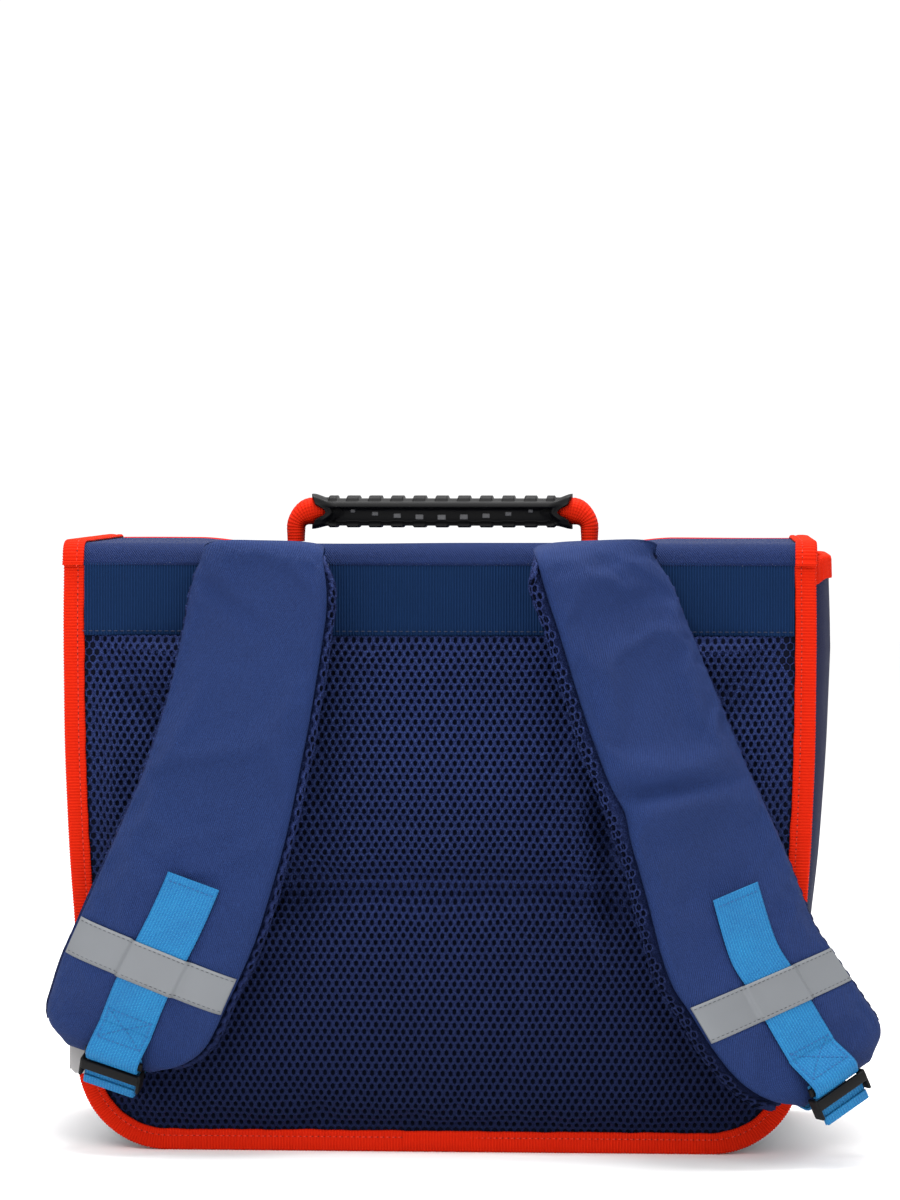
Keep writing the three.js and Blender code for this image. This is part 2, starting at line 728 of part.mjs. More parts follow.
function makeStrap(route, side) {
  const rootOut = clearance + bandWall + clearance + strapRoot / 2;
  const first = route[0];
  const firstOut = first.out * strapStandOff;
  const foldShares = [
    { across: 0, rise: 0.05 },
    { across: 0, rise: 0.5 },
    { across: 0.12, rise: 0.86 },
    { across: 0.4, rise: 1 },
    { across: 0.76, rise: 0.78 },
  ];
  const rows = foldShares.map((fold) => ({
    x: first.x * halfWidth,
    z: panelHeight + strapFold * fold.rise,
    out: rootOut + (firstOut - rootOut) * fold.across,
    turn: first.turn * fold.across * fold.across,
    tilt: first.tilt * fold.across,
  }));
  for (const row of route) {
    rows.push({
      x: row.x * halfWidth,
      z: row.z * panelHeight,
      out: row.out * strapStandOff,
      turn: row.turn,
      tilt: row.tilt,
    });
  }
  const points = rows.map((row) => vec(row.x, backFace - row.out, row.z));
  const curve = new THREE.CatmullRomCurve3(points, false, "catmullrom", 0.5);
  curve.arcLengthDivisions = 600;
  const length = curve.getLength();
  const at = (along) => {
    const raw = curve.getUtoTmapping(Math.min(Math.max(along, 0), 1));
    const place = raw * (rows.length - 1);
    const low = Math.min(Math.floor(place), rows.length - 2);
    const mix = place - low;
    const angleOf = (key) => radians * (rows[low][key] + (rows[low + 1][key] - rows[low][key]) * mix);
    const turn = angleOf("turn");
    const tilt = angleOf("tilt");
    const wide = vec(
      side * Math.cos(turn) * Math.cos(tilt),
      Math.sin(turn),
      Math.cos(turn) * Math.sin(tilt),
    ).normalize();
    const along3 = curve.getTangent(raw);
    const out = along3.clone().cross(wide).multiplyScalar(side).normalize();
    return { middle: curve.getPoint(raw), wide, out, down: along3 };
  };
  const foldEnd = curve.getLengths()[Math.round((600 * foldShares.length) / (rows.length - 1))] / length;
  return { at, length, side, foldEnd };
}

// The straps thin out towards their lower edge.
function tipShare(strap, along) {
  const near = Math.min(((1 - along) * strap.length) / strapTipRoll, 1);
  return strapTip + (1 - strapTip) * Math.sqrt(1 - (1 - near) ** 2);
}

function strapPoint(frame, across, height) {
  return frame.middle.clone().addScaledVector(frame.wide, across).addScaledVector(frame.out, height);
}

const padProfile = [
  { across: -1, low: 0.45, high: 0.5 },
  { across: -0.93, low: 0.12, high: 0.86 },
  { across: -0.6, low: 0, high: 1 },
  { across: 0, low: 0, high: 1 },
  { across: 0.6, low: 0, high: 1 },
  { across: 0.93, low: 0.12, high: 0.86 },
  { across: 1, low: 0.45, high: 0.5 },
];

function strapHalf(along, across) {
  const column = across < 0 ? "inner" : "outer";
  return (strapWidth / 2) * lerpTable(strapCut, "along", along, column);
}

// The outer twill half of a strap: thin at the sewn root, full past the fold.
function strapOuter(strap) {
  const rows = [];
  const stations = strapCut.map((row) => row.along);
  const folds = [0.2, 0.45, 0.72].map((share) => share * strap.foldEnd);
  const all = [...new Set([...stations, ...folds, strap.foldEnd])].sort((a, b) => a - b);
  for (const along of all) {
    const frame = strap.at(along);
    const full = smooth((along / strap.foldEnd - 0.3) / 0.7);
    const low = -strapRoot / 2 + (strapRoot / 2 + clearance / 2) * full;
    const high = (strapRoot / 2 + (strapShell - strapRoot / 2) * full) * tipShare(strap, along);
    rows.push(padProfile.map((p) => {
      const across = p.across * strapHalf(along, p.across);
      const top = low + (high - low) * p.high;
      return [strapPoint(frame, across, low), strapPoint(frame, across, top)];
    }));
  }
  return sheet(rows);
}

// The mesh half under it.
function strapUnder(strap) {
  const start = strap.foldEnd + liningStart / strap.length;
  const rows = [];
  const stations = strapCut.map((row) => row.along).filter((along) => along > start + 0.01);
  for (const along of [start, ...stations]) {
    const frame = strap.at(along);
    rows.push(padProfile.map((p) => {
      const across = p.across * strapHalf(along, p.across);
      const foot = -clearance / 2 - (strapLining - clearance / 2) * p.high * tipShare(strap, along);
      return [strapPoint(frame, across, -clearance / 2), strapPoint(frame, across, foot)];
    }));
  }
  return sheet(rows);
}

// A flat ribbon through points, each with the direction of its width.
function ribbon(points, width, wall) {
  const rows = points.map((point, k) => {
    const before = points[Math.max(k - 1, 0)].at;
    const after = points[Math.min(k + 1, points.length - 1)].at;
    const come = point.at.clone().sub(before).normalize();
    const go = after.clone().sub(point.at).normalize();
    const along = come.clone().add(go).normalize();
    const bend = Math.max(come.lengthSq() && go.lengthSq() ? along.dot(go) : 1, 0.5);
    const normal = along.clone().cross(point.wide).normalize().multiplyScalar(wall / 2 / bend);
    return [-0.5, 0.5].map((share) => {
      const middle = point.at.clone().addScaledVector(point.wide, share * width);
      return [middle.clone().sub(normal), middle.clone().add(normal)];
    });
  });
  return sheet(rows);
}

const webbingSeat = 2 * clearance; // the pad's face is slightly crowned
const overTwill = strapShell + webbingSeat + webbingWall / 2;
const loopGap = clearance + webbingWall / 2;
const topBarFoot = 0.6;
const coverBarStart = topBarSize + 2 * clearance + webbingWall;
const coverBarFoot = 3.2;
const railStart = -0.8;
const railGap = clearance + 0.2; // beside the webbing
const lowBarTop = coverBarFoot - 3 * clearance - webbingWall;
const lowBarStart = coverBarStart + coverBarSize + clearance;
const tailHeight = lowBarTop + loopGap;

function tipFrame(strap) {
  const frame = strap.at(1);
  const down = frame.wide.clone().cross(frame.out).multiplyScalar(strap.side).normalize();
  if (down.dot(frame.down) < 0) down.negate();
  return { ...frame, down };
}

// The buckle's own frame: its upper bar on the strap's end, its low end tilted to the bag.
function buckleFrame(strap) {
  const tip = tipFrame(strap);
  const tilt = buckleTilt * radians;
  const turned = (first, second, sign) => tip[first].clone().multiplyScalar(Math.cos(tilt))
    .addScaledVector(tip[second], sign * Math.sin(tilt));
  const middle = tip.middle.clone().addScaledVector(tip.down, -buckleSeat)
    .addScaledVector(tip.out, buckleLift);
  return { middle, wide: tip.wide, down: turned("down", "out", -1), out: turned("out", "down", 1) };
}

const tipPoint = (tip, down, height) => ({
  at: tip.middle.clone().addScaledVector(tip.down, down).addScaledVector(tip.out, height),
  wide: tip.wide,
});

const webbingEnd = buckleSeat + 13; // where the webbing lifts off towards the bar
const leanAt = (strap, fromTip) => strap.lean * Math.max(fromTip - webbingEnd, 0) / strap.webbing;

function strapWebbing(strap) {
  const hold = buckleFrame(strap);
  const start = 1 - strap.webbing / strap.length;
  const end = 1 - webbingEnd / strap.length;
  const stations = strapCut.map((row) => row.along).filter((along) => along > start && along < end);
  const points = [start, ...stations, end].map((along) => {
    const frame = strap.at(along);
    const lean = leanAt(strap, (1 - along) * strap.length);
    return { at: strapPoint(frame, lean, overTwill), wide: frame.wide };
  });
  const barTop = topBarFoot + topBarWall;
  points.push(
    tipPoint(hold, -1, barTop + loopGap + 0.2),
    tipPoint(hold, topBarSize, barTop + loopGap),
    tipPoint(hold, topBarSize + loopGap, barTop),
    tipPoint(hold, topBarSize + loopGap, topBarFoot),
    tipPoint(hold, topBarSize, topBarFoot - loopGap),
    tipPoint(hold, -0.6, topBarFoot - loopGap),
  );
  return ribbon(points, webbingWidth, webbingWall);
}

function reflector(strap) {
  const middle = 1 - reflectorFromTip / strap.length;
  const half = reflectorWidth / 2 / strap.length;
  const over = webbingSeat + webbingWall;
  const web = webbingWidth / 2;
  return sheet([-1, 0, 1].map((share) => {
    const along = middle + share * half;
    const frame = strap.at(along);
    const innerEdge = -strapHalf(along, -1);
    const outerEdge = strapHalf(along, 1);
    const lean = leanAt(strap, reflectorFromTip);
    const columns = [
      [innerEdge * 0.96, -0.9],
      [innerEdge * 0.6, 0],
      [lean - web - 3, 0],
      [lean - web - 0.5, over],
      [lean + web + 0.5, over],
      [lean + web + 3, 0],
      [outerEdge * 0.6, 0],
      [outerEdge * 0.96, -0.9],
    ];
    return columns.map(([across, rise]) => {
      const height = strapShell + clearance + rise;
      return [
        strapPoint(frame, across, height),
        strapPoint(frame, across, height + reflectorWall),
      ];
    });
  }));
}

// Ladder-lock buckle: two rails, a bar in the webbing's loop, a cover bar and a low bar.
function buckle(strap) {
  const hold = buckleFrame(strap);
  const inner = webbingWidth / 2 + railGap;
  const outer = inner + buckleRail;
  const railFoot = lowBarTop - lowBarWall;
  const railTop = coverBarFoot + coverBarWall;
  const bars = [
    [0, topBarSize, topBarFoot, topBarFoot + topBarWall],
    [coverBarStart, coverBarSize, coverBarFoot, railTop],
    [lowBarStart, lowBarSize, railFoot, lowBarTop],
  ];
  const railEnd = railStart + buckleLength;
  let solid = toSolid(block(vec(-outer, railStart, railFoot), vec(-inner, railEnd, railTop)));
  solid = solid.add(toSolid(block(vec(inner, railStart, railFoot), vec(outer, railEnd, railTop))));
  for (const [start, size, foot, top] of bars) {
    const reach = inner + buckleRail / 2;
    solid = solid.add(toSolid(block(vec(-reach, start, foot), vec(reach, start + size, top))));
  }
  const geometry = toGeometry(solid);
  const wide = hold.down.clone().cross(hold.out).normalize();
  const place = new THREE.Matrix4().makeBasis(wide, hold.down, hold.out);
  return geometry.applyMatrix4(place.setPosition(hold.middle));
}

// Anchor tab beside a lower corner, laid on the binding and the pad's edge, and the webbing
// from it down, round behind the strap's end and up through the buckle.
function outlineAt(z) {
  const low = Math.max(cornerRadius - z, 0);
  return sideAt(Math.max(z, cornerRadius)) - cornerRadius + Math.sqrt(cornerRadius ** 2 - low ** 2);
}

function tabFrame(side) {
  const edgeX = outlineAt(tabFoot + tabLength / 2);
  const slope = tabSlope * radians;
  const x = edgeX + tabOverhang - tabWidth / 2;
  const out = tapeStack + clearance + tabWall / 2 + Math.tan(slope) * (edgeX - x);
  return {
    middle: vec(side * x, backFace - out, tabFoot),
    wide: vec(side * Math.cos(slope), Math.sin(slope), 0),
  };
}
const tabPoint = (tab, up, out) => ({
  at: tab.middle.clone().add(vec(0, -out, up)),
  wide: tab.wide,
});

function anchorTab(side) {
  const tab = tabFrame(side);
  return ribbon([
    tabPoint(tab, 0, tabRise),
    tabPoint(tab, tabLength * 0.4, 0),
    tabPoint(tab, tabLength, 0),
  ], tabWidth, tabWall);
}

function adjuster(strap) {
  const tip = tipFrame(strap);
  const hold = buckleFrame(strap);
  const tab = tabFrame(strap.side);
  const onTab = tabWall / 2 + clearance + webbingWall / 2;
  const rise = lowBarStart - loopGap;
  const low = lowBarTop - lowBarWall;
  const behind = strapLining + 2;
  const tail = [
    tipPoint(hold, lowBarStart + tailLength, tailHeight),
    tipPoint(hold, lowBarStart - loopGap * 0.45, tailHeight),
    tipPoint(hold, rise, lowBarTop + loopGap * 0.45),
    tipPoint(hold, rise, low - 1),
    tipPoint(tip, webbingWall * 2, -behind),
  ];
  const foot = [
    tabPoint(tab, webbingWall, tabRise + onTab + webbingWall),
    tabPoint(tab, tabLength * 0.4, onTab),
    tabPoint(tab, tabLength - webbingWall, onTab),
  ];
  const from = tail[tail.length - 1].at;
  const to = foot[0].at;
  const bridge = [0.35, 0.7].map((share) => ({
    at: from.clone().lerp(to, share),
    wide: tip.wide.clone().lerp(tab.wide, share).normalize(),
  }));
  return ribbon([...tail, ...bridge, ...foot], webbingWidth, webbingWall);
}

for (const [name, route, side] of [["left", leftRoute, -1], ["right", rightRoute, 1]]) {
  const strap = {
    ...makeStrap(route, side),
    webbing: webbingLength[name],
    lean: webbingLean[name],
  };
  add(`strap_${name}`, strapOuter(strap), colours.twill, 0.85);
  add(`strap_lining_${name}`, strapUnder(strap), colours.mesh, 0.9);
  add(`strap_webbing_${name}`, strapWebbing(strap), colours.blue, 0.75);
  add(`reflector_${name}`, reflector(strap), colours.silver, 0.45);
  add(`buckle_${name}`, buckle(strap), colours.black, 0.5);
  add(`anchor_tab_${name}`, anchorTab(strap.side), colours.grey, 0.7);
  add(`adjuster_${name}`, adjuster(strap), colours.blue, 0.75);
}

// Two plain clasps that hold the flap's front down.
for (const side of [-1, 1]) {
  const x = (side * claspSpread) / 2;
  const foot = flapFoot + bindingReach + claspLift;
  const face = flapFront + clearance;
  const name = side < 0 ? "left" : "right";
  add(`clasp_${name}`, block(
    vec(x - claspWidth / 2, face, foot),
    vec(x + claspWidth / 2, face + claspWall, foot + claspHeight),
  ), colours.black, 0.5);
}

export default group;
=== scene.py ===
import json
import math

import bmesh
import bpy
import numpy as np
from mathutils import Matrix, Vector

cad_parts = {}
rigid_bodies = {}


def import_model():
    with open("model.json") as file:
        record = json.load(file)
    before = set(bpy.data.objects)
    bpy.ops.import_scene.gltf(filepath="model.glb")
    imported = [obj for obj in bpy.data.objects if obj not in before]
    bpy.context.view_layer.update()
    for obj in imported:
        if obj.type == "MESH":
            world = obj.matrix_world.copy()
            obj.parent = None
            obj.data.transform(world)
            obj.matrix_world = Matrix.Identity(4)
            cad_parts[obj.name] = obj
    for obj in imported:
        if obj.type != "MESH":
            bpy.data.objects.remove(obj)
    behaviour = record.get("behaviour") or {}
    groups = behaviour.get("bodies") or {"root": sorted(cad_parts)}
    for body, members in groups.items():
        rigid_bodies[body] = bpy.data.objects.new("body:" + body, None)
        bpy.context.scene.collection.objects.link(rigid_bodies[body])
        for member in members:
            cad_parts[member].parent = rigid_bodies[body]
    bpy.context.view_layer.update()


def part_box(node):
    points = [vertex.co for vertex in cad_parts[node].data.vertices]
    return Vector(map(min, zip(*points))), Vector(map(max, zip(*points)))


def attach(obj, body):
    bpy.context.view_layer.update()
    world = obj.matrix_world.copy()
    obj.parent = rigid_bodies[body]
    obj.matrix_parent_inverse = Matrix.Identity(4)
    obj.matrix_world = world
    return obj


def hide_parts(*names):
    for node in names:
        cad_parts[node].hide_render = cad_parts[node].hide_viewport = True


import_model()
print("frame loaded")

mm = 0.001  # shapes are worked out in millimetres, meshes are in metres
bag = {
    "halfWidth": 190, "panelHeight": 298, "depth": 150, "corner": 46,
    "board": 4, "frontBoard": 3, "frontHeight": 296, "gap": 0.3,
}
backFace = -bag["depth"] / 2
frontFace = bag["depth"] / 2
sides = {"left": -1, "right": 1}


# numbers
def smooth(t):
    t = np.clip(t, 0, 1)
    return t * t * (3 - 2 * t)


def bell(t):
    return np.exp(-np.square(t))


def unit(v):
    return v / np.maximum(np.linalg.norm(v, axis=-1, keepdims=True), 1e-12)


# A smooth, fixed waviness between about -1 and 1
def wave(*phases):
    total = 0
    for k, phase in enumerate(phases):
        total = total + np.sin(phase * (1 + 0.31 * k) + 1.7 * k) * np.cos(phase * 0.43 + 0.9 * k)
    return total / len(phases)


def catmull(rows, count):
    rows = np.asarray(rows, float)
    ext = np.vstack([2 * rows[0] - rows[1], rows, 2 * rows[-1] - rows[-2]])
    t = np.linspace(0, len(rows) - 1, count)
    i = np.minimum(t.astype(int), len(rows) - 2)
    f = (t - i)[:, None]
    a, b, c, d = ext[i], ext[i + 1], ext[i + 2], ext[i + 3]
    return 0.5 * (2 * b + (c - a) * f + (2 * a - 5 * b + 4 * c - d) * f**2 + (3 * b - a - 3 * c + d) * f**3)


def runLength(points):
    steps = np.linalg.norm(np.diff(points, axis=0), axis=1)
    return np.concatenate([[0], np.cumsum(steps)])


# Every column of a table with distances s, read at t
def sampled(t, s, table):
    return np.stack([np.interp(t, s, table[:, k]) for k in range(table.shape[1])], axis=-1)


def evenly(points, step):
    s = runLength(points)
    count = max(int(round(s[-1] / step)), 2) + 1
    t = np.linspace(0, s[-1], count)
    return sampled(t, s, points), t


# A sine or cosine drawn towards a square
def squared(value, power):
    return np.sign(value) * np.abs(value) ** power


# A grid of points from coordinates that are numbers, rows or columns
def pointGrid(x, y, z):
    return np.stack(np.broadcast_arrays(x, y, z), axis=-1)


# meshes
def place(obj, material):
    bpy.context.scene.collection.objects.link(obj)
    if material:
        obj.data.materials.append(material)
    return obj


def outward(mesh):
    bm = bmesh.new()
    bm.from_mesh(mesh)
    if bm.calc_volume(signed=True) < 0:
        bmesh.ops.reverse_faces(bm, faces=bm.faces)
    bm.to_mesh(mesh)
    bm.free()


def build(name, points, faces, material=None, uvs=None, shade=True):
    mesh = bpy.data.meshes.new(name)
    mesh.from_pydata((np.asarray(points) * mm).tolist(), [], faces)
    if uvs is not None:
        layer = mesh.uv_layers.new(name="cloth")
        layer.data.foreach_set("uv", (np.asarray(uvs, np.float32) * mm).ravel())
    mesh.update()
    outward(mesh)
    mesh.polygons.foreach_set("use_smooth", [shade] * len(mesh.polygons))
    mesh.update()
    return place(bpy.data.objects.new(name, mesh), material)


def gridFaces(rows, cols, wrap):
    j, i = np.meshgrid(np.arange(rows - 1), np.arange(cols if wrap else cols - 1), indexing="ij")
    k = (i + 1) % cols
    quads = np.stack([j * cols + i, j * cols + k, (j + 1) * cols + k, (j + 1) * cols + i], axis=-1)
    return quads.reshape(-1, 4), j, i


# A closed skin over rings of points, capped at both ends, with a UV map in metres
def loft(name, rings, material, along=None, shade=True):
    rows, cols, _ = rings.shape
    faces, j, i = gridFaces(rows, cols, True)
    middle = rings[rows // 2]
    girth = runLength(np.vstack([middle, middle[:1]]))
    if along is None:
        along = runLength(rings.mean(axis=1))
    j, i = j.ravel(), i.ravel()
    u = np.stack([girth[i], girth[i + 1], girth[i + 1], girth[i]], axis=1)
    v = np.stack([along[j], along[j], along[j + 1], along[j + 1]], axis=1)
    uvs = np.stack([u, v], axis=-1).reshape(-1, 2)
    caps = [list(range(cols))[::-1], list(range((rows - 1) * cols, rows * cols))]
    capUvs = np.zeros((2 * cols, 2))
    return build(name, rings.reshape(-1, 3), faces.tolist() + caps, material,
                 np.vstack([uvs, capUvs]), shade)


# A closed sheet between two grids of points, over and under
def skin(name, over, under, material):
    rings = np.concatenate([over, under[:, ::-1]], axis=1)
    return loft(name, rings, material)


def addFloat(obj, name, values):
    layer = obj.data.attributes.new(name, "FLOAT", "POINT")
    layer.data.foreach_set("value", np.asarray(values, np.float32).ravel())


def show(obj, slot, *nodes, fill=None):
    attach(obj, "root")
    if nodes:
        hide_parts(*nodes)
    return obj


# A box with rounded edges, in millimetres
def softBox(low, high, radius):
    bm = bmesh.new()
    bmesh.ops.create_cube(bm, size=1)
    low, high = np.array(low, float), np.array(high, float)
    for vert in bm.verts:
        vert.co = Vector(((low + high) / 2 + np.array(vert.co) * (high - low)).tolist())
    bmesh.ops.bevel(bm, geom=list(bm.edges), offset=radius, segments=3, affect="EDGES", profile=0.5)
    points = np.array([v.co for v in bm.verts])
    faces = [[v.index for v in f.verts] for f in bm.faces]
    bm.free()
    return points, faces


def bars(name, boxes, material, radius=0.7, move=None):
    points, faces = [], []
    for low, high in boxes:
        got, quads = softBox(low, high, radius)
        faces += [[k + len(points) for k in face] for face in quads]
        points += got.tolist()
    points = np.array(points)
    if move is not None:
        points = move(points)
    obj = build(name, points, faces, material)
    edges = obj.modifiers.new("corners", "EDGE_SPLIT")
    edges.split_angle = math.radians(50)
    return obj


# materials

# An operator between a wire and another wire or number, and its reflected form
def operator(kind):
    def plain(wire, other):
        return wire.math(kind, other)

    def reflected(wire, other):
        return wire.math(kind, other, flip=True)
    return plain, reflected


# A shader socket that takes part in sums
class Wire:
    __add__, __radd__ = operator("ADD")
    __sub__, __rsub__ = operator("SUBTRACT")
    __mul__, __rmul__ = operator("MULTIPLY")
    __truediv__, __rtruediv__ = operator("DIVIDE")

    def __init__(self, paint, socket):
        self.paint, self.socket = paint, socket

    def math(self, kind, *others, flip=False):
        values = [self, *others]
        if flip:
            values.reverse()
        return self.paint.node("ShaderNodeMath", dict(enumerate(values)), operation=kind)


# A procedural material around one Principled shader
class Paint:
    def __init__(self, name, **values):
        self.material = bpy.data.materials.new(name)
        self.material.use_nodes = True
        self.tree = self.material.node_tree
        self.shader = self.tree.nodes["Principled BSDF"]
        for key, value in values.items():
            self.shader.inputs[key.replace("_", " ")].default_value = value

    def node(self, kind, sockets=(), out=0, **settings):
        made = self.tree.nodes.new(kind)
        for key, value in settings.items():
            setattr(made, key, value)
        for key, value in dict(sockets).items():
            socket = made.inputs[key]
            if isinstance(value, Wire):
                self.tree.links.new(value.socket, socket)
            else:
                socket.default_value = value
        return Wire(self, made.outputs[out])

    def feed(self, name, wire):
        self.tree.links.new(wire.socket, self.shader.inputs[name])

    def coords(self):
        return self.node("ShaderNodeTexCoord", out="Object")

    def cloth(self):
        made = self.node("ShaderNodeUVMap", uv_map="cloth")
        return [self.node("ShaderNodeSeparateXYZ", {0: made}, out=k) for k in (0, 1)]

    def noise(self, scale, detail=2, rough=0.5):
        return self.node("ShaderNodeTexNoise", {
            "Vector": self.coords(), "Scale": scale, "Detail": detail, "Roughness": rough,
        })

    def blend(self, mask, first, second):
        return self.node("ShaderNodeMix", {0: mask, 6: first, 7: second}, out=2, data_type="RGBA")

    def bump(self, height, distance):
        self.feed("Normal", self.node("ShaderNodeBump", {"Height": height, "Distance": distance}))


# A colour read as 0-255 screen values
def rgb(r, g, b):
    def line(c):
        c = c / 255
        return c / 12.92 if c <= 0.04045 else ((c + 0.055) / 1.055) ** 2.4
    return (line(r), line(g), line(b), 1)


# A wave between 0 and 1 along a wire, turn radians a metre
def ribWave(wire, turn, kind="SINE"):
    return (wire * turn).math(kind) * 0.5 + 0.5


# Twill: diagonal ribs, thread speckle, a slow unevenness
def twillPaint(name, colour, light, dark, pitch=1.15):
    paint = Paint(name, Roughness=0.7, Specular_IOR_Level=0.14)
    u, v = paint.cloth()
    turn = 2 * math.pi / (pitch * mm)
    rib = ribWave(u + v * 0.8, turn)
    yarn = ribWave(u * 0.9 - v, turn * 1.7)
    speck = paint.noise(2600, 1, 0.6)
    slow = paint.noise(22, 3, 0.55)
    base = paint.blend(slow, dark, colour)
    base = paint.blend(((speck - 0.42) * 1.6).math("MAXIMUM", 0.0), base, light)
    base = paint.blend(rib * 0.34, base, light)
    paint.feed("Base Color", base)
    paint.feed("Roughness", 0.84 - speck * 0.22)
    paint.bump(rib * 0.7 + yarn * 0.2 + speck * 0.6, 0.0004)
    return paint.material


# Woven tape: cross ribs as the mesh has them, finer threads along them and a speckle, with painted shade
# darkening the grooves between the ribs
def tapePaint(name, colour, light, dark, pitch=1.5):
    paint = Paint(name, Roughness=0.7, Specular_IOR_Level=0.07)
    u, v = paint.cloth()
    turn = 2 * math.pi / (pitch * mm)
    rib = ribWave(v, turn)
    fine = ribWave(u, turn * 2.3)
    speck = paint.noise(1900, 1, 0.6)
    slow = paint.noise(60, 2, 0.5)
    base = paint.blend(slow, dark, colour)
    base = paint.blend((speck - 0.4).math("MAXIMUM", 0.0) * 0.9, base, light)
    # painted shade: the colour goes darker in the grooves between the ribs
    base = paint.blend(rib * rib * 0.4, dark, base)
    paint.feed("Base Color", paint.blend(rib * 0.75 + 0.25, dark, base))
    paint.feed("Roughness", speck * 0.25 + 0.6)
    paint.bump(rib * 0.6 + fine * 0.35 + speck * 0.4, 0.00025)
    return paint.material


# Webbing: staggered stitches in columns, wide and long in mm
def weavePaint(name, colour, light, dark, wide, long):
    paint = Paint(name, Roughness=0.62, Specular_IOR_Level=0.2)
    u, v = paint.cloth()
    columns = ribWave(u, 2 * math.pi / (wide * mm), "COSINE")
    ticks = (u * (math.pi / (wide * mm)) + v * (2 * math.pi / (long * mm))).math("SINE") * 0.5 + 0.5
    knot = columns * (ticks * 0.7 + 0.3)
    speck = paint.noise(1900, 1, 0.6)
    base = paint.blend(paint.noise(60, 2, 0.5), dark, colour)
    base = paint.blend(knot * 0.75 + 0.35, dark, base)
    base = paint.blend((speck - 0.42).math("MAXIMUM", 0.0) * 0.6 + knot * 0.14, base, light)
    paint.feed("Base Color", base)
    paint.feed("Roughness", speck * 0.25 + 0.5)
    paint.bump(knot + speck * 0.3, 0.00035)
    return paint.material


# Knitted strands of the air mesh, with light speckles as painted highlights and painted shade towards the
# bottom
def yarnPaint(name, colour, light, dark):
    paint = Paint(name, Roughness=0.75, Specular_IOR_Level=0.08)
    fine = paint.noise(1500, 2, 0.6)
    base = paint.blend(paint.noise(16, 2, 0.5), dark, colour)
    # painted highlight: light speckles stand in for the fine highlights on the knit
    base = paint.blend((fine - 0.45).math("MAXIMUM", 0.0) * 2.4, base, light)
    height = paint.node("ShaderNodeSeparateXYZ", {0: paint.coords()}, out=2)
    # painted shade: the yarn darkens towards the bottom, where light from above falls off
    low = paint.node("ShaderNodeMapRange", {0: height, 1: 0.2, 2: 0.03, 3: 0.0, 4: 0.8})  # darker below
    paint.feed("Base Color", paint.blend(low, base, dark))
    paint.bump(fine, 0.0004)
    return paint.material


# A moulded or coated surface with a fine grain and uneven gloss
def plainPaint(name, colour, rough, grain=900, height=0.00006, **more):
    paint = Paint(name, Roughness=rough, **more)
    fine = paint.noise(grain, 3, 0.6)
    slow = paint.noise(40, 2, 0.5)
    tone = tuple(c * 0.82 for c in colour[:3]) + (1,)
    paint.feed("Base Color", paint.blend(slow, tone, colour))
    paint.feed("Roughness", slow * 0.12 + (rough - 0.06))
    paint.bump(fine, height)
    return paint.material


paints = {
    "twill": twillPaint("navyTwill", rgb(20, 35, 79), rgb(42, 68, 124), rgb(13, 24, 60)),
    "twillFlap": twillPaint("navyTwillFlap", rgb(12, 26, 66), rgb(30, 54, 108), rgb(8, 19, 50)),
    "twillDark": twillPaint("navyTwillSide", rgb(20, 24, 54), rgb(34, 40, 76), rgb(15, 18, 44)),
    "yarn": yarnPaint("meshYarn", rgb(25, 35, 77), rgb(60, 78, 134), rgb(13, 20, 48)),
    "pit": plainPaint("meshPit", rgb(13, 17, 35), 0.95, Specular_IOR_Level=0.04),
    "board": plainPaint("liningCloth", rgb(8, 11, 26), 0.95, Specular_IOR_Level=0.06),
    "band": tapePaint("bandWebbing", rgb(19, 50, 99), rgb(42, 84, 136), rgb(12, 34, 66), 1.4),
    "red": tapePaint("redTape", rgb(234, 49, 6), rgb(246, 82, 34), rgb(188, 26, 2)),
    "blue": weavePaint("blueWebbing", rgb(18, 119, 171), rgb(72, 165, 201), rgb(10, 78, 134), 1.5, 1.7),
    "silver": plainPaint("reflectiveTape", rgb(112, 115, 119), 0.5, 2400, 0.00005, Metallic=0.2),
    "black": plainPaint("blackPlastic", rgb(8, 8, 9), 0.55, 1500, 0.00004, Specular_IOR_Level=0.14),
    # painted light: grey standing in for the bright backdrop seen through the grip's holes
    "opening": plainPaint("gripOpeningPaintedLight", rgb(90, 90, 92), 0.6, 1500),
    "grey": plainPaint("greyTab", rgb(150, 148, 148), 0.7, 1200),
    # painted shade: dark red for the shade in the stitch holes
    "redHoleShade": plainPaint("redHoleShade", rgb(80, 8, 6), 0.9, 3000),
}
threads = {"red": (214, 44, 20), "navy": (10, 26, 58), "blue": (14, 84, 142), "grey": (52, 54, 58)}
for name, colour in threads.items():
    paints[name + "Thread"] = plainPaint(name + "Thread", rgb(*colour), 0.6, 3000)
print("materials ready")


# geometry nodes

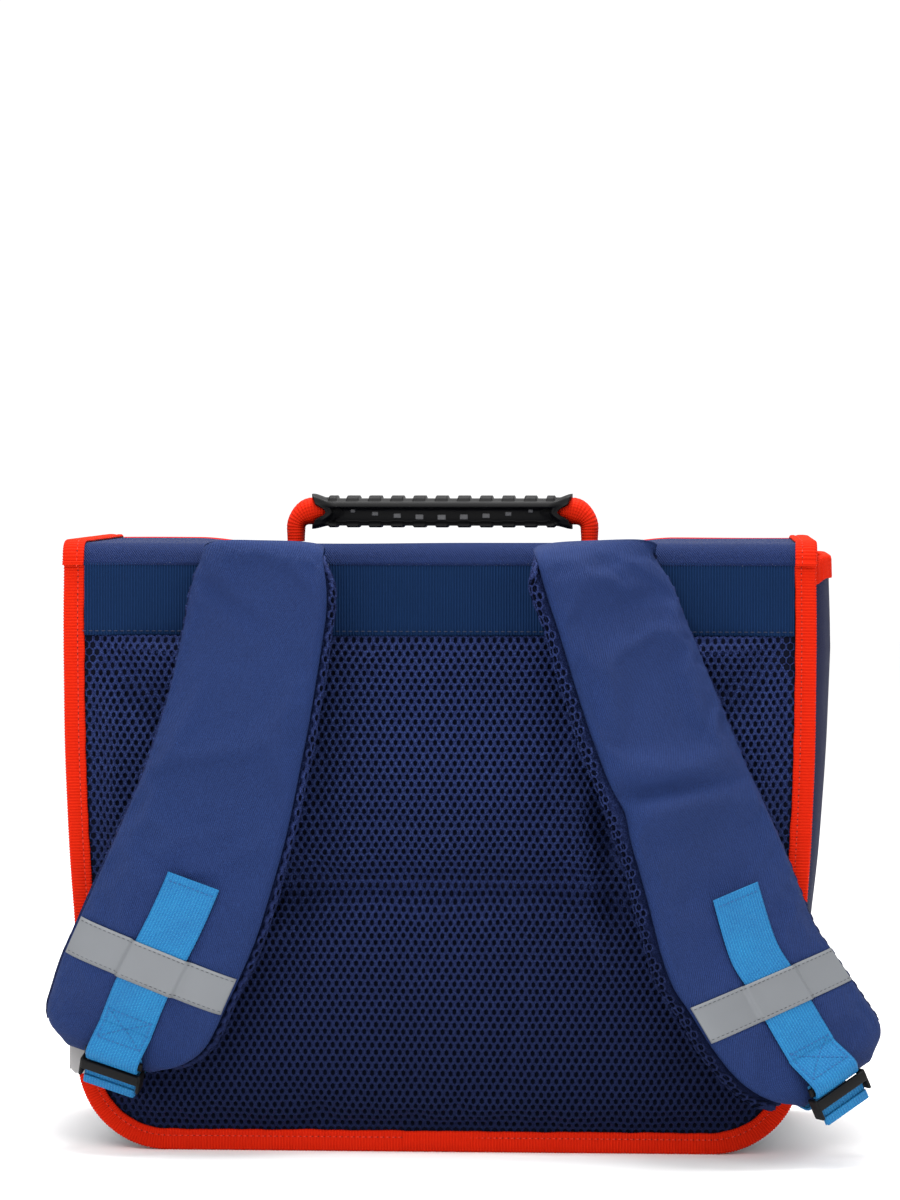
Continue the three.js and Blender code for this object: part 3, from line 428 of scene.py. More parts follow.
# A geometry node tree with named inputs, made around a small chain of nodes
class Tree:
    def __init__(self, name, **inputs):
        self.group = bpy.data.node_groups.new(name, "GeometryNodeTree")
        face = self.group.interface
        face.new_socket("Geometry", in_out="INPUT", socket_type="NodeSocketGeometry")
        self.ids = {}
        for key, value in inputs.items():
            kind = "NodeSocketMaterial" if value is None else "NodeSocketFloat"
            socket = face.new_socket(key, in_out="INPUT", socket_type=kind)
            if value is not None:
                socket.default_value = value
            self.ids[key] = socket.identifier
        face.new_socket("Geometry", in_out="OUTPUT", socket_type="NodeSocketGeometry")
        self.start = self.group.nodes.new("NodeGroupInput")
        self.end = self.group.nodes.new("NodeGroupOutput")

    def node(self, kind, sockets=(), **settings):
        made = self.group.nodes.new(kind)
        for key, value in settings.items():
            setattr(made, key, value)
        for key, value in dict(sockets).items():
            if isinstance(value, bpy.types.NodeSocket):
                self.group.links.new(value, made.inputs[key])
            else:
                made.inputs[key].default_value = value
        return made

    def wire(self, name):
        return self.start.outputs[name]

    def named(self, name, kind):
        return self.node("GeometryNodeInputNamedAttribute", {"Name": name}, data_type=kind).outputs[0]

    def maths(self, kind, *values):
        return self.node("ShaderNodeMath", dict(enumerate(values)), operation=kind).outputs[0]

    def finish(self, socket, *materials):
        last = self.node("GeometryNodeRealizeInstances", {0: socket}).outputs[0]
        for name, selection in materials:
            made = self.node("GeometryNodeSetMaterial", {"Geometry": last, "Material": self.wire(name)})
            if selection is not None:
                self.group.links.new(selection, made.inputs["Selection"])
            last = made.outputs[0]
        self.group.links.new(last, self.end.inputs[0])
        return self


# The object as its node tree makes it, as a plain mesh
def grown(obj, tree, **values):
    modifier = obj.modifiers.new("nodes", "NODES")
    modifier.node_group = tree.group
    for key, value in values.items():
        modifier[tree.ids[key]] = value
    bpy.context.view_layer.update()
    graph = bpy.context.evaluated_depsgraph_get()
    made = obj.evaluated_get(graph)
    mesh = bpy.data.meshes.new_from_object(made, preserve_all_data_layers=True, depsgraph=graph)
    obj.modifiers.clear()
    name = obj.name
    bpy.data.objects.remove(obj)
    mesh.name = name
    return place(bpy.data.objects.new(name, mesh), None)


air = {  # spacing of the cells in millimetres, and one cell: depths in metres, shares of its width
    "pitch": 3.95, "row": 3.45,
    "cell": {"Wall": 0.0026, "Slope": 0.0008, "Pit": 0.0016, "Strand": 0.7, "Narrow": 0.68, "Hole": 0.85},
}


# Cells of a lattice, each sunk to a hole with sloping strands, and a back to close it
def netTree():
    tree = Tree("airMesh", **air["cell"], Yarn=None, Dark=None)
    cells = tree.node("GeometryNodeDualMesh", {"Mesh": tree.wire("Geometry")}).outputs[0]

    def sink(mesh, depth, individual, **selection):
        return tree.node("GeometryNodeExtrudeMesh", {
            "Mesh": mesh, "Offset Scale": tree.maths("MULTIPLY", tree.wire(depth), -1.0),
            "Individual": individual, **selection,
        }, mode="FACES").outputs

    def narrowed(geometry, selection, scale, **more):
        sockets = {"Geometry": geometry, "Selection": selection, "Scale": tree.wire(scale)}
        if more:
            sockets["Axis"] = tree.named("across", "FLOAT_VECTOR")
        return tree.node("GeometryNodeScaleElements", sockets, **more).outputs[0]

    back = sink(cells, "Wall", False)
    turned = tree.node("GeometryNodeFlipFaces", {"Mesh": back["Mesh"]})
    slope = sink(cells, "Slope", True)
    opened = narrowed(slope["Mesh"], slope["Top"], "Strand")
    oval = narrowed(opened, slope["Top"], "Narrow", scale_mode="SINGLE_AXIS")
    pit = sink(oval, "Pit", True, Selection=slope["Top"])
    small = narrowed(pit["Mesh"], pit["Top"], "Hole")
    both = tree.node("FunctionNodeBooleanMath", {0: pit["Top"], 1: pit["Side"]}, operation="OR")
    dark = tree.node("GeometryNodeStoreNamedAttribute", {
        "Geometry": small, "Name": "inPit", "Value": both.outputs[0],
    }, data_type="BOOLEAN", domain="FACE")
    whole = tree.node("GeometryNodeJoinGeometry")
    for part in (dark, turned):
        tree.group.links.new(part.outputs[0], whole.inputs[0])
    sewn = tree.node("GeometryNodeMergeByDistance", {"Geometry": whole.outputs[0], "Distance": 0.00001})
    return tree.finish(sewn.outputs[0], ("Yarn", None), ("Dark", tree.named("inPit", "BOOLEAN")))


# Ribs across a woven piece, from its distance attribute
def ribTree():
    tree = Tree("wovenRibs", Pitch=1.0, Height=0.1, Cloth=None)
    turns = tree.maths("DIVIDE", tree.named("along", "FLOAT"), tree.wire("Pitch"))
    turn = tree.maths("MULTIPLY", turns, 2 * math.pi)
    rise = tree.maths("MULTIPLY", tree.maths("SINE", turn), tree.wire("Height"))
    rise = tree.maths("MULTIPLY", rise, tree.named("ribs", "FLOAT"))
    normal = tree.node("GeometryNodeInputNormal").outputs[0]
    push = tree.node("ShaderNodeVectorMath", {0: normal, "Scale": rise}, operation="SCALE")
    moved = tree.node("GeometryNodeSetPosition", {
        "Geometry": tree.wire("Geometry"), "Offset": push.outputs[0],
    })
    return tree.finish(moved.outputs[0], ("Cloth", None))


# Short threads set end to end along lines
def stitchTree():
    tree = Tree("stitches", Pitch=0.003, Length=0.0022, Thread=0.0005, Material=None)
    curve = tree.node("GeometryNodeMeshToCurve", {"Mesh": tree.wire("Geometry")})
    even = tree.node("GeometryNodeResampleCurve", {
        "Curve": curve.outputs[0], "Length": tree.wire("Pitch"),
    }, mode="LENGTH")
    bead = tree.node("GeometryNodeMeshUVSphere", {"Segments": 6, "Rings": 5, "Radius": 0.5})
    thread = tree.wire("Thread")
    size = tree.node("ShaderNodeCombineXYZ", {0: thread, 1: thread, 2: tree.wire("Length")})
    tangent = tree.node("GeometryNodeInputTangent").outputs[0]
    turned = tree.node("FunctionNodeAlignRotationToVector", {"Vector": tangent}, axis="Z")
    beads = tree.node("GeometryNodeInstanceOnPoints", {
        "Points": even.outputs[0], "Instance": bead.outputs[0],
        "Rotation": turned.outputs[0], "Scale": size.outputs[0],
    })
    real = tree.node("GeometryNodeRealizeInstances", {0: beads.outputs[0]})
    rounded = tree.node("GeometryNodeSetShadeSmooth", {"Geometry": real.outputs[0]})
    return tree.finish(rounded.outputs[0], ("Material", None))


netNodes = netTree()
ribNodes = ribTree()
stitchNodes = stitchTree()


# Ribs on a lofted piece: its rings' distances, a mask over one ring, pitch and height in mm
def woven(obj, along, mask, pitch, height, cloth):
    addFloat(obj, "along", np.repeat(along, len(mask)) * mm)
    addFloat(obj, "ribs", np.tile(mask, len(along)))
    return grown(obj, ribNodes, Pitch=pitch * mm, Height=height * mm, Cloth=paints[cloth])


# Rows of stitches along lines of points in millimetres, the first one after skip
def stitches(name, lines, thread, slot, pitch=3.2, length=2.4, width=0.55, skip=0):
    points, edges = [], []
    for line in lines:
        line, far = evenly(np.asarray(line, float), 1.0)
        line = sampled(np.arange(skip, far[-1], 1.0), far, line)
        start = len(points)
        points += (line * mm).tolist()
        edges += [(start + k, start + k + 1) for k in range(len(line) - 1)]
    mesh = bpy.data.meshes.new(name)
    mesh.from_pydata(points, edges, [])
    obj = place(bpy.data.objects.new(name, mesh), None)
    measures = {"Pitch": pitch * mm, "Length": length * mm, "Thread": width * mm}
    return show(grown(obj, stitchNodes, **measures, Material=paints[thread]), slot)


# A sewn row on red tape: threads, and dark beads between them as painted shade in the stitch holes
def seam(name, lines, slot):
    stitches(name, lines, "redThread", slot, 3.0, 1.9, 0.6)
    stitches(name + "_holes", lines, "redHoleShade", slot, 3.0, 1.0, 0.7, skip=1.5)


# An air mesh over a lattice of points in millimetres, its holes narrowed across
def net(name, points, triangles, across):
    mesh = bpy.data.meshes.new(name)
    mesh.from_pydata((points * mm).tolist(), [], triangles.tolist())
    layer = mesh.attributes.new("across", "FLOAT_VECTOR", "POINT")
    layer.data.foreach_set("vector", np.asarray(across, np.float32).ravel())
    obj = place(bpy.data.objects.new(name, mesh), None)
    obj = grown(obj, netNodes, **air["cell"], Yarn=paints["yarn"], Dark=paints["pit"])
    obj.data.polygons.foreach_set("use_smooth", [True] * len(obj.data.polygons))
    return obj


# The points of a padded face after a cloth simulation, with some of them held
def puffed(points, faces, held, pressure, grow, cap):
    scene = bpy.context.scene
    mesh = bpy.data.meshes.new("puff")
    mesh.from_pydata((points * mm).tolist(), [], faces.tolist())
    obj = place(bpy.data.objects.new("puff", mesh), None)
    group = obj.vertex_groups.new(name="held")
    group.add(np.flatnonzero(held).tolist(), 1, "REPLACE")
    modifier = obj.modifiers.new("cloth", "CLOTH")
    settings = modifier.settings
    settings.quality = 5
    settings.vertex_group_mass = "held"
    settings.use_pressure = True
    settings.uniform_pressure_force = pressure
    settings.shrink_min = -grow
    settings.effector_weights.gravity = 0
    modifier.collision_settings.use_collision = False
    frames = 20
    modifier.point_cache.frame_start, modifier.point_cache.frame_end = 1, frames
    for step in range(1, frames + 1):
        scene.frame_set(step)
    graph = bpy.context.evaluated_depsgraph_get()
    moved = np.zeros(len(points) * 3)
    obj.evaluated_get(graph).data.vertices.foreach_get("co", moved)
    scene.frame_set(1)
    bpy.data.objects.remove(obj)
    move = moved.reshape(-1, 3) / mm - points
    far = np.linalg.norm(move, axis=1, keepdims=True)
    return points + move * np.minimum(1, cap / np.maximum(far, 1e-9))


# Staggered rows of points over a rectangle, and the triangles whose corners are inside
def lattice(width, height, inside):
    cols = int(width / air["pitch"]) + 2
    rows = int(height / air["row"]) + 2
    j, i = np.meshgrid(np.arange(rows), np.arange(cols), indexing="ij")
    p = (i + 0.5 * (j % 2)) * air["pitch"]
    p = p - p.mean()
    q = (j - (rows - 1) / 2) * air["row"]
    keep = inside(p, q)
    index = j * cols + i
    a, b = index[:-1, :-1], index[:-1, 1:]
    c, d = index[1:, :-1], index[1:, 1:]
    odd = (j[:-1, :-1] % 2).astype(bool)[..., None]
    first = np.where(odd, np.stack([a, b, d], -1), np.stack([a, b, c], -1))
    second = np.where(odd, np.stack([a, d, c], -1), np.stack([b, d, c], -1))
    tris = np.concatenate([first.reshape(-1, 3), second.reshape(-1, 3)])
    tris = tris[keep.ravel()[tris].all(axis=1)]
    used = np.unique(tris)
    remap = np.zeros(rows * cols, int)
    remap[used] = np.arange(len(used))
    return p.ravel()[used], q.ravel()[used], remap[tris]


# outline of the panels
taperUp = [0, 0.36, 0.5, 0.68, 0.9, 1]  # shares of the panel's height
taperWide = [0.962, 0.968, 0.985, 0.997, 1, 0.997]  # the width there, as a share of the widest


def sideAt(z):
    z = np.asarray(z, float)
    spread = [np.interp((z + d) / bag["panelHeight"], taperUp, taperWide) for d in (-14, -7, 0, 7, 14)]
    return bag["halfWidth"] * np.mean(spread, axis=0)


# The panels' outline from the upper left, round the base, to the upper right: x, z, nx, nz
def outline(height, step):
    corner = bag["corner"]
    z = np.linspace(height, corner, 60)
    side = np.stack([sideAt(z), z, np.ones(len(z)), np.zeros(len(z))], 1)
    angle = np.linspace(0, math.pi / 2, 50)[1:]
    c, s = np.cos(angle), np.sin(angle)
    arc = np.stack([sideAt(corner) - corner + corner * c, corner - corner * s, c, -s], 1)
    right = np.vstack([side, arc])
    left = right * [-1, 1, -1, 1]
    path = np.vstack([left, right[::-1]])
    s = runLength(path[:, :2])
    t = np.linspace(0, s[-1], int(s[-1] / step))
    even = sampled(t, s, path)
    even[:, 2:] = unit(even[:, 2:])
    return even, t


def edgeDistance(x, z):
    corner = bag["corner"]
    centre = sideAt(corner) - corner
    beside = sideAt(z) - np.abs(x)
    low = corner - np.hypot(np.maximum(np.abs(x) - centre, 0), np.maximum(corner - z, 0))
    return np.where(z < corner, np.minimum(beside, low), beside)


# tape folded round an edge
tape = {
    "reach": 11, "tuck": 6.4, "wall": 1.3, "round": 1.6, "ribPitch": 1.5, "ribHeight": 0.2,
    "seam": 3.6, "dent": 0.4, "overlap": 40, "step": 0.42,
}
stackStep = bag["gap"] + tape["wall"]  # what one layer of tape adds


# A folded tape across a stack of one thickness: reach inwards, depth and rib mask
# Depth 0 is the outer face of what it binds and grows inwards, outside is negative
def tapeSection(stack):
    gap, wall, r, reach = bag["gap"], tape["wall"], tape["round"], tape["reach"]
    outer = [(reach - 0.4, -stackStep + 0.35), (reach - 1.0, -stackStep + 0.03)]
    outer += [(reach - tape["seam"] + k, -stackStep + (0 if k else tape["dent"])) for k in (1, 0, -1)]
    outer += [(reach * k, -stackStep - 0.1) for k in (0.5, 0.3)]
    angles = np.linspace(0, math.pi / 2, 5)
    outer += [(r - r * math.sin(angle), -stackStep + r - r * math.cos(angle)) for angle in angles]
    depth = stack + stackStep
    outer += [(r - r * math.cos(angle), depth - r + r * math.sin(angle)) for angle in angles]
    outer += [(tape["tuck"] * 0.6, depth), (tape["tuck"], depth)]
    inner = [(tape["tuck"], stack + gap), (wall, stack + gap), (wall, -gap), (reach - 0.2, -gap)]
    mask = np.array([0.2] + [1] * (len(outer) - 3) + [0, 0] + [0] * len(inner))
    return np.array(outer + inner), mask


# Sweeps the folded tape: corner points, unit vectors inwards and into the depth, distances
def tapePiece(name, corner, inwards, depthways, along, stack, joint=None):
    section, mask = tapeSection(stack)
    sway = 0.28 * wave(along / 17, along / 6.1) + 0.16 * wave(along / 3.2)
    reach = np.repeat(section[None, :, 0], len(along), 0)
    depth = np.repeat(section[None, :, 1], len(along), 0)
    lip = (section[:, 0] > tape["reach"] * 0.9)[None, :]
    reach = reach + np.where(lip, sway[:, None], 0)
    puff = 0.10 * (wave(along / 2.3, along / 9) + 1)
    if joint is not None:  # the tape's second end lies over its first
        past = along - joint
        puff = puff + 0.7 * smooth(past / 0.8) * (1 - smooth((past - 12) / tape["overlap"]))
    depth = depth - np.where((section[:, 1] < 0) & (section[:, 0] > 2), 1, 0)[None, :] * puff[:, None]
    rings = corner[:, None] + inwards[:, None] * reach[..., None] + depthways[:, None] * depth[..., None]
    obj = loft(name, rings, None, along=along)
    return woven(obj, along, mask, tape["ribPitch"], tape["ribHeight"], "red")


def flat(path, y):
    return np.stack([path[:, 0], np.full(len(path), float(y)), path[:, 1]], 1)


def normals(path):
    return np.stack([path[:, 2], np.zeros(len(path)), path[:, 3]], 1)


def panelTape(name, height, face, into, stack, step, joint):
    path, along = outline(height, step)
    if joint is not None:
        joint = np.interp(joint, path[:, 0], along)
    depthways = np.tile([0.0, into, 0.0], (len(path), 1))
    piece = tapePiece(name, flat(path, face), -normals(path), depthways, along, stack, joint)
    line = flat(path, face) - normals(path) * (tape["reach"] - tape["seam"])
    line[:, 1] -= into * (stackStep - tape["dent"] + 0.1)
    return piece, line[::8]


def panelTapes():
    lines = []
    for name, height, face, into, stack, step, joint in (
        ("back", bag["panelHeight"], backFace, 1, bag["board"], tape["step"], -18),
        ("front", bag["frontHeight"], frontFace, -1, bag["frontBoard"], 0.9, None),
    ):
        piece, line = panelTape(name + "_tape", height, face, into, stack, step, joint)
        show(piece, "tape_red", name + "_binding")
        lines.append(line)
    seam("panel_tape_stitches", lines, "tape_red")


panelTapes()
print("tapes of the panels made")


# back pad
tabFoot = 41
pad = {
    "rise": 10, "seam": 3.6, "roll": 17, "centre": 0.62, "centreReach": 0.5, "band": 37, "ridge": 0.36,
    "width": 380, "height": 264, "middle": 130,
}
valleys = [  # x1, z1, x2, z2 as shares of half width and height, then width and depth
    (0.95, 0.86, 0.71, 0.75, 0.038, 0.95),
    (0, 0.455, 0.52, 0.462, 0.03, 0.97),
    (0.47, 0.44, 0.46, 0.58, 0.028, 0.75),
    (0.46, 0.58, 0.52, 0.86, 0.045, 0.6),
]


# How far points lie from a valley's line, all in shares
def valleyAway(across, up, x1, z1, x2, z2):
    dx, dz = x2 - x1, z2 - z1
    t = np.clip(((across - x1) * dx + (up - z1) * dz) / (dx * dx + dz * dz), 0, 1)
    return np.hypot(across - x1 - dx * t, up - z1 - dz * t)


def padHeight(x, z):
    across, up = np.abs(x) / bag["halfWidth"], z / bag["panelHeight"]
    fromTape = edgeDistance(x, z) - tape["reach"] - pad["seam"] + 2.5
    fromBand = bag["panelHeight"] - pad["band"] - z + 1.5
    edge = smooth(fromTape / pad["roll"]) ** 0.8 * smooth(fromBand / 8)
    middle = smooth((pad["centreReach"] - across) / 0.08) * smooth((up - 0.47) / 0.05)
    level = 1 - (1 - pad["centre"]) * middle
    for *ends, wide, deep in valleys:
        away = valleyAway(across, up, *ends)
        level = level - deep * level * bell(away / wide)
        level = level + pad["ridge"] * deep * bell((away - 2.2 * wide) / wide)
    ease = 0.05 * wave(x / 31 + 2, z / 27) + 0.03 * wave(x / 11, z / 13 + 1)
    return pad["rise"] * (level + ease) * edge


def padInside(p, q):
    z = q + pad["middle"]
    return (edgeDistance(p, z) > 5.5) & (z > 5.5) & (z < bag["panelHeight"] - pad["band"] + 6)


# Whether points lie on a deep valley, which is sewn down
def sewnDown(x, z):
    across, up = np.abs(x) / bag["halfWidth"], z / bag["panelHeight"]
    near = [(valleyAway(across, up, *ends) < 0.014) & (deep > 0.6) for *ends, _, deep in valleys]
    return np.any(near, axis=0)


def backPad():
    p, q, tris = lattice(pad["width"], pad["height"], padInside)
    z = q + pad["middle"]
    points = np.stack([p, backFace - padHeight(p, z) - 0.15, z], 1)
    held = sewnDown(p, z) | (z > bag["panelHeight"] - pad["band"] - 2)
    held = held | (edgeDistance(p, z) < tape["reach"] + 3)
    underTab = (z < tabFoot + 24) & (z > tabFoot - 6) & (np.abs(p) > 150)
    points[underTab, 1] = np.maximum(points[underTab, 1], backFace - 2.2)
    points = puffed(points, tris, held | underTab, pressure=3.0, grow=0.012, cap=3.0)
    show(net("back_pad", points, tris, np.tile([1.0, 0, 0], (len(p), 1))), "mesh", "back_panel", fill=0.5)


# The board behind the pad, inside the tape
def backBoard():
    path, _ = outline(bag["panelHeight"], 6)
    rim = flat(path, 0) - normals(path) * stackStep
    rings = np.stack([rim + [0, y, 0] for y in (backFace + 0.1, backFace + 0.6, backFace + bag["board"])])
    show(loft("back_board", rings, paints["board"], shade=False), "mesh")


backPad()
backBoard()
print("back pad made")


# webbing band
webBand = {"step": 0.27, "wall": 2.1, "ribPitch": 1.4, "ribHeight": 0.24, "sag": 0.25, "seamUp": 2.2}


def band():
    half = float(sideAt(bag["panelHeight"])) - tape["reach"] + 0.4
    foot, top = bag["panelHeight"] - pad["band"], bag["panelHeight"] - 0.3
    x = np.arange(-half, half, webBand["step"])
    sag = webBand["sag"] * wave(x / 40)
    section = [(foot + 0.2, 0.3), (foot, 0.8), (foot + 0.3, 1.7), (foot + 1.2, 2.0)]
    section += [(foot + (top - foot) * k, webBand["wall"]) for k in (0.2, 0.4, 0.6, 0.8)]
    section += [(top - 1.2, 2.0), (top - 0.2, 1.7), (top, 0.8), (top - 0.2, 0.3)]
    up, out = np.array(section).T
    y = backFace - out[None] - 0.12 * (wave(x / 23) + 1)[:, None]
    rings = pointGrid(x[:, None], y, up[None] + sag[:, None] * (up[None] < foot + 2))
    obj = loft("top_band_webbing", rings, None, along=x + half)
    obj = woven(obj, x + half, out > 0.9, webBand["ribPitch"], webBand["ribHeight"], "band")
    show(obj, "band", "top_band")
    line = pointGrid(x, backFace - webBand["wall"] - 0.35, foot + webBand["seamUp"])
    stitches("band_stitches", [line[::12]], "navyThread", "band")


band()
print("band made")


# gusset
gusset = {
    "wall": 2, "height": 299.5, "dip": 7, "inset": 7, "bulge": 8, "leftBulge": 2,
    "tapeHeight": 10, "tapeWall": 1.2,
}
gussetBack = backFace + bag["board"] + bag["gap"]
gussetFront = frontFace - bag["frontBoard"] - bag["gap"]


# Points of the gusset for outline stations (rows) and shares of the depth (columns)
def gussetPoints(path, share, depth):
    edge = np.minimum(share, 1 - share)
    swell = np.interp(edge, [0, 0.014, 0.03, 0.05, 0.08, 0.11, 0.16, 0.22, 0.5],
                      [0, 0, 0.2, 0.5, 0.7, 0.82, 0.94, 1, 1])
    up = path[:, 1] / bag["panelHeight"]
    most = np.where(path[:, 0] < 0, gusset["leftBulge"], gusset["bulge"])
    bulge = most * np.interp(up, [0, 0.16, 0.5, 0.85, 1], [0, 0.12, 0.62, 1, 0.9])
    out = (gusset["inset"] + bulge)[:, None] * swell[None] - gusset["inset"]
    soft = smooth(up * 5)[:, None] * smooth(edge * 12)[None]
    ripple = 0.5 * wave(path[:, 1] / 29)[:, None] * wave(share * 9 + 1)[None]
    ripple = ripple + 0.35 * wave(path[:, 1] / 11 + 2)[:, None] * bell((edge - 0.06) / 0.05)[None]
    out = out + soft * ripple - depth
    dip = gusset["dip"] * (1 - smooth(edge / 0.1))
    fromTop = smooth((path[:, 1] / gusset["height"] - 0.9) / 0.1)
    x, z, nx, nz = (path[:, k, None] for k in range(4))
    y = (gussetBack + (gussetFront - gussetBack) * share)[None]
    return pointGrid(x + nx * out, y, z + nz * out - dip[None] * fromTop[:, None])


gussetPath, _ = outline(gusset["height"], 5)
shares = np.concatenate([np.linspace(0, 0.22, 16), np.linspace(0.25, 0.75, 14), np.linspace(0.78, 1, 16)])
gussetSkin = skin("gusset_cloth", gussetPoints(gussetPath, shares, 0),
                  gussetPoints(gussetPath, shares, gusset["wall"]), paints["twillDark"])
show(gussetSkin, "twill", "gusset")


# Tape over the gusset's upper edge
def gussetTape(side, name):
    share = np.linspace(0.014, 0.986, 300)
    top = np.array([[sideAt(gusset["height"]) * side, gusset["height"], side, 0.0]])
    low = top.copy()
    low[:, 1] -= gusset["tapeHeight"]
    low[:, 0] = sideAt(low[:, 1]) * side
    near, far, wall = bag["gap"], bag["gap"] + gusset["tapeWall"], gusset["wall"]

    def at(path, depth, lift):
        return gussetPoints(path, share, depth)[0] + [0, 0, lift]
    ring = [at(low, -far, 0.3), at(low, -far, 1)]
    for k in (0.35, 0.7):
        ring.append(at(low, -far, 0) * (1 - k) + at(top, -far, 0) * k)
    ring += [at(path, depth, lift) for path, depth, lift in (
        (top, -far, -0.4), (top, -far * 0.8, far * 0.75), (top, -far * 0.3, far),
        (top, wall + far * 0.3, far), (top, wall + far * 0.8, far * 0.75), (top, wall + far, -0.4),
        (low, wall + far, 0.3), (low, wall + near, 0.3), (top, wall + near, near),
        (top, -near, near), (low, -near, 0.3),
    )]
    rings = np.stack(ring, axis=1)
    along = runLength(at(top, 0, 0))
    mask = np.arange(len(ring)) < 9
    obj = loft(name, rings, None, along=along)
    return woven(obj, along, mask, tape["ribPitch"], tape["ribHeight"], "red")


for name, side in sides.items():
    show(gussetTape(side, "gusset_tape_" + name), "tape_red", "gusset_binding_" + name)
print("gusset made")


# front panel
def frontPanel():
    path, _ = outline(bag["frontHeight"], 4)
    rim = flat(path, 0) - normals(path) * stackStep
    rings = []
    for y, inset in ((0, 1.2), (0, 0.4), (-0.4, 0), (-bag["frontBoard"], 0)):
        rings.append(rim - normals(path) * inset + [0, frontFace + y, 0])
    show(loft("front_cloth", np.stack(rings), paints["twill"]), "twill", "front_panel")


frontPanel()


# flap
flap = {
    "back": backFace - 1.4, "height": 307.5, "wall": 2.4, "bend": 9, "hang": 232, "corner": 34,
    "drop": 4.7, "dropStart": {-1: 92, 1: 72}, "dropReach": 46,
}
flap["front"] = frontFace + stackStep + bag["gap"] + stackStep + flap["wall"]
flap["foot"] = flap["height"] - flap["hang"]


# How far the top's front edge lies below its back edge, between the straps
def dropAt(x):
    start = np.where(x < 0, *flap["dropStart"].values())
    return flap["drop"] * (1 - smooth((np.abs(x) - start) / flap["dropReach"]))


# The flap's line from the back, over the top, to the front corner: y, z, ny, nz
def flapRun(step):
    bend, hem = flap["bend"], bag["panelHeight"]
    rows = [(flap["back"] - 0.95, hem - 1.6, -1, 0), (flap["back"] - 1.1, hem, -1, 0)]
    for centre, first, last in ((flap["back"] + bend, 2, 1), (flap["front"] - bend, 1, 0)):
        for angle in np.linspace(first * math.pi / 2, last * math.pi / 2, 12):
            c, s = math.cos(angle), math.sin(angle)
            rows.append((centre + bend * c, flap["height"] - bend + bend * s, c, s))
    rows.append((flap["front"], flap["foot"] + flap["corner"], 1, 0))
    rows = np.array(rows, float)
    s = runLength(rows[:, :2])
    t = np.linspace(0, s[-1], int(s[-1] / step) + 1)
    even = sampled(t, s, rows)
    even[:, 2:] = unit(even[:, 2:])
    return even, t


def flapGrid(depth):
    run, t = flapRun(2.6)
    half = bag["halfWidth"]
    share = np.sin(np.linspace(-1, 1, 91) * math.pi / 2)
    x = share[None] * np.full((len(run), 1), half - stackStep)
    back, up, ny, nz = (run[:, k, None] for k in range(4))
    onTop = nz ** 2
    give = smooth((half - np.abs(x)) / 60)
    wrinkle = give * (0.5 * wave(x / 47, t[:, None] / 39) + 0.25 * wave(x / 19 + 1, t[:, None] / 23))
    depth = depth - wrinkle * (0.4 + 0.6 * onTop)
    z = up - depth * nz - dropAt(x) * smooth((back - backFace) / 90) * onTop
    main = np.stack([x, back - depth * ny, z], -1)
    reach = flap["corner"] - stackStep
    rows = []
    for angle in np.linspace(0, math.pi / 2, 16)[1:]:
        xs = share * (half - flap["corner"] + reach * math.cos(angle))
        height = flap["foot"] + flap["corner"] - reach * math.sin(angle)
        rows.append(pointGrid(xs, flap["front"] - depth[-1], height))
    return np.concatenate([main, np.stack(rows)])


flapCloth = skin("flap_cloth", flapGrid(0), flapGrid(flap["wall"]), paints["twillFlap"])
show(flapCloth, "twill", "flap")


def flapTape():
    run, _ = flapRun(0.5)
    half = bag["halfWidth"]
    side = np.stack([np.full(len(run), -half), run[:, 0], run[:, 1]], 1)
    sideIn = np.tile([1.0, 0, 0], (len(run), 1))
    sideDepth = -np.stack([np.zeros(len(run)), run[:, 2], run[:, 3]], 1)
    angle, r = np.linspace(0, math.pi / 2, 100)[1:], flap["corner"]
    c, s = np.cos(angle), np.sin(angle)
    corner = pointGrid(-half + r - r * c, flap["front"], flap["foot"] + r - r * s)
    cornerIn = pointGrid(c, 0, s)
    x = np.linspace(-half + r, half - r, 560)[1:-1]
    base = pointGrid(x, flap["front"], flap["foot"])
    baseIn = np.tile([0, 0, 1.0], (len(x), 1))
    flip = [-1, 1, 1]
    points = np.vstack([side, corner, base, (corner * flip)[::-1], (side * flip)[::-1]])
    inwards = np.vstack([sideIn, cornerIn, baseIn, (cornerIn * flip)[::-1], (sideIn * flip)[::-1]])
    frontDepth = np.tile([0, -1.0, 0], (2 * len(angle) + len(x), 1))
    depthways = np.vstack([sideDepth, frontDepth, sideDepth[::-1]])
    along = runLength(points)
    piece = tapePiece("flap_tape", points, inwards, depthways, along, flap["wall"])
    show(piece, "tape_red", "flap_binding")
    line = points + inwards * (tape["reach"] - tape["seam"]) - depthways * (stackStep - tape["dent"] + 0.1)
    seam("flap_tape_stitches", [line[::7]], "tape_red")
    return piece


flapEdge = flapTape()


cord = {"radius": 1.6, "around": 10, "drop": 0.9, "waviness": 0.15}


def piping():
    radius = cord["radius"]
    half = bag["halfWidth"] - tape["reach"] + 0.6
    x = np.linspace(-half, half, 240)
    seat = flap["bend"] + bag["gap"] + radius
    y = flap["front"] - flap["bend"] + seat * math.sqrt(0.5)
    z = flap["height"] - flap["bend"] + seat * math.sqrt(0.5) - dropAt(x) * cord["drop"]
    z = z + cord["waviness"] * wave(x / 21)
    angle = np.linspace(0, 2 * math.pi, cord["around"], endpoint=False)
    rings = pointGrid(x[:, None], y + radius * np.cos(angle), z[:, None] + radius * np.sin(angle))
    return show(loft("flap_cord_edge", rings, paints["red"]), "tape_red", "flap_piping")


flapFold = piping()


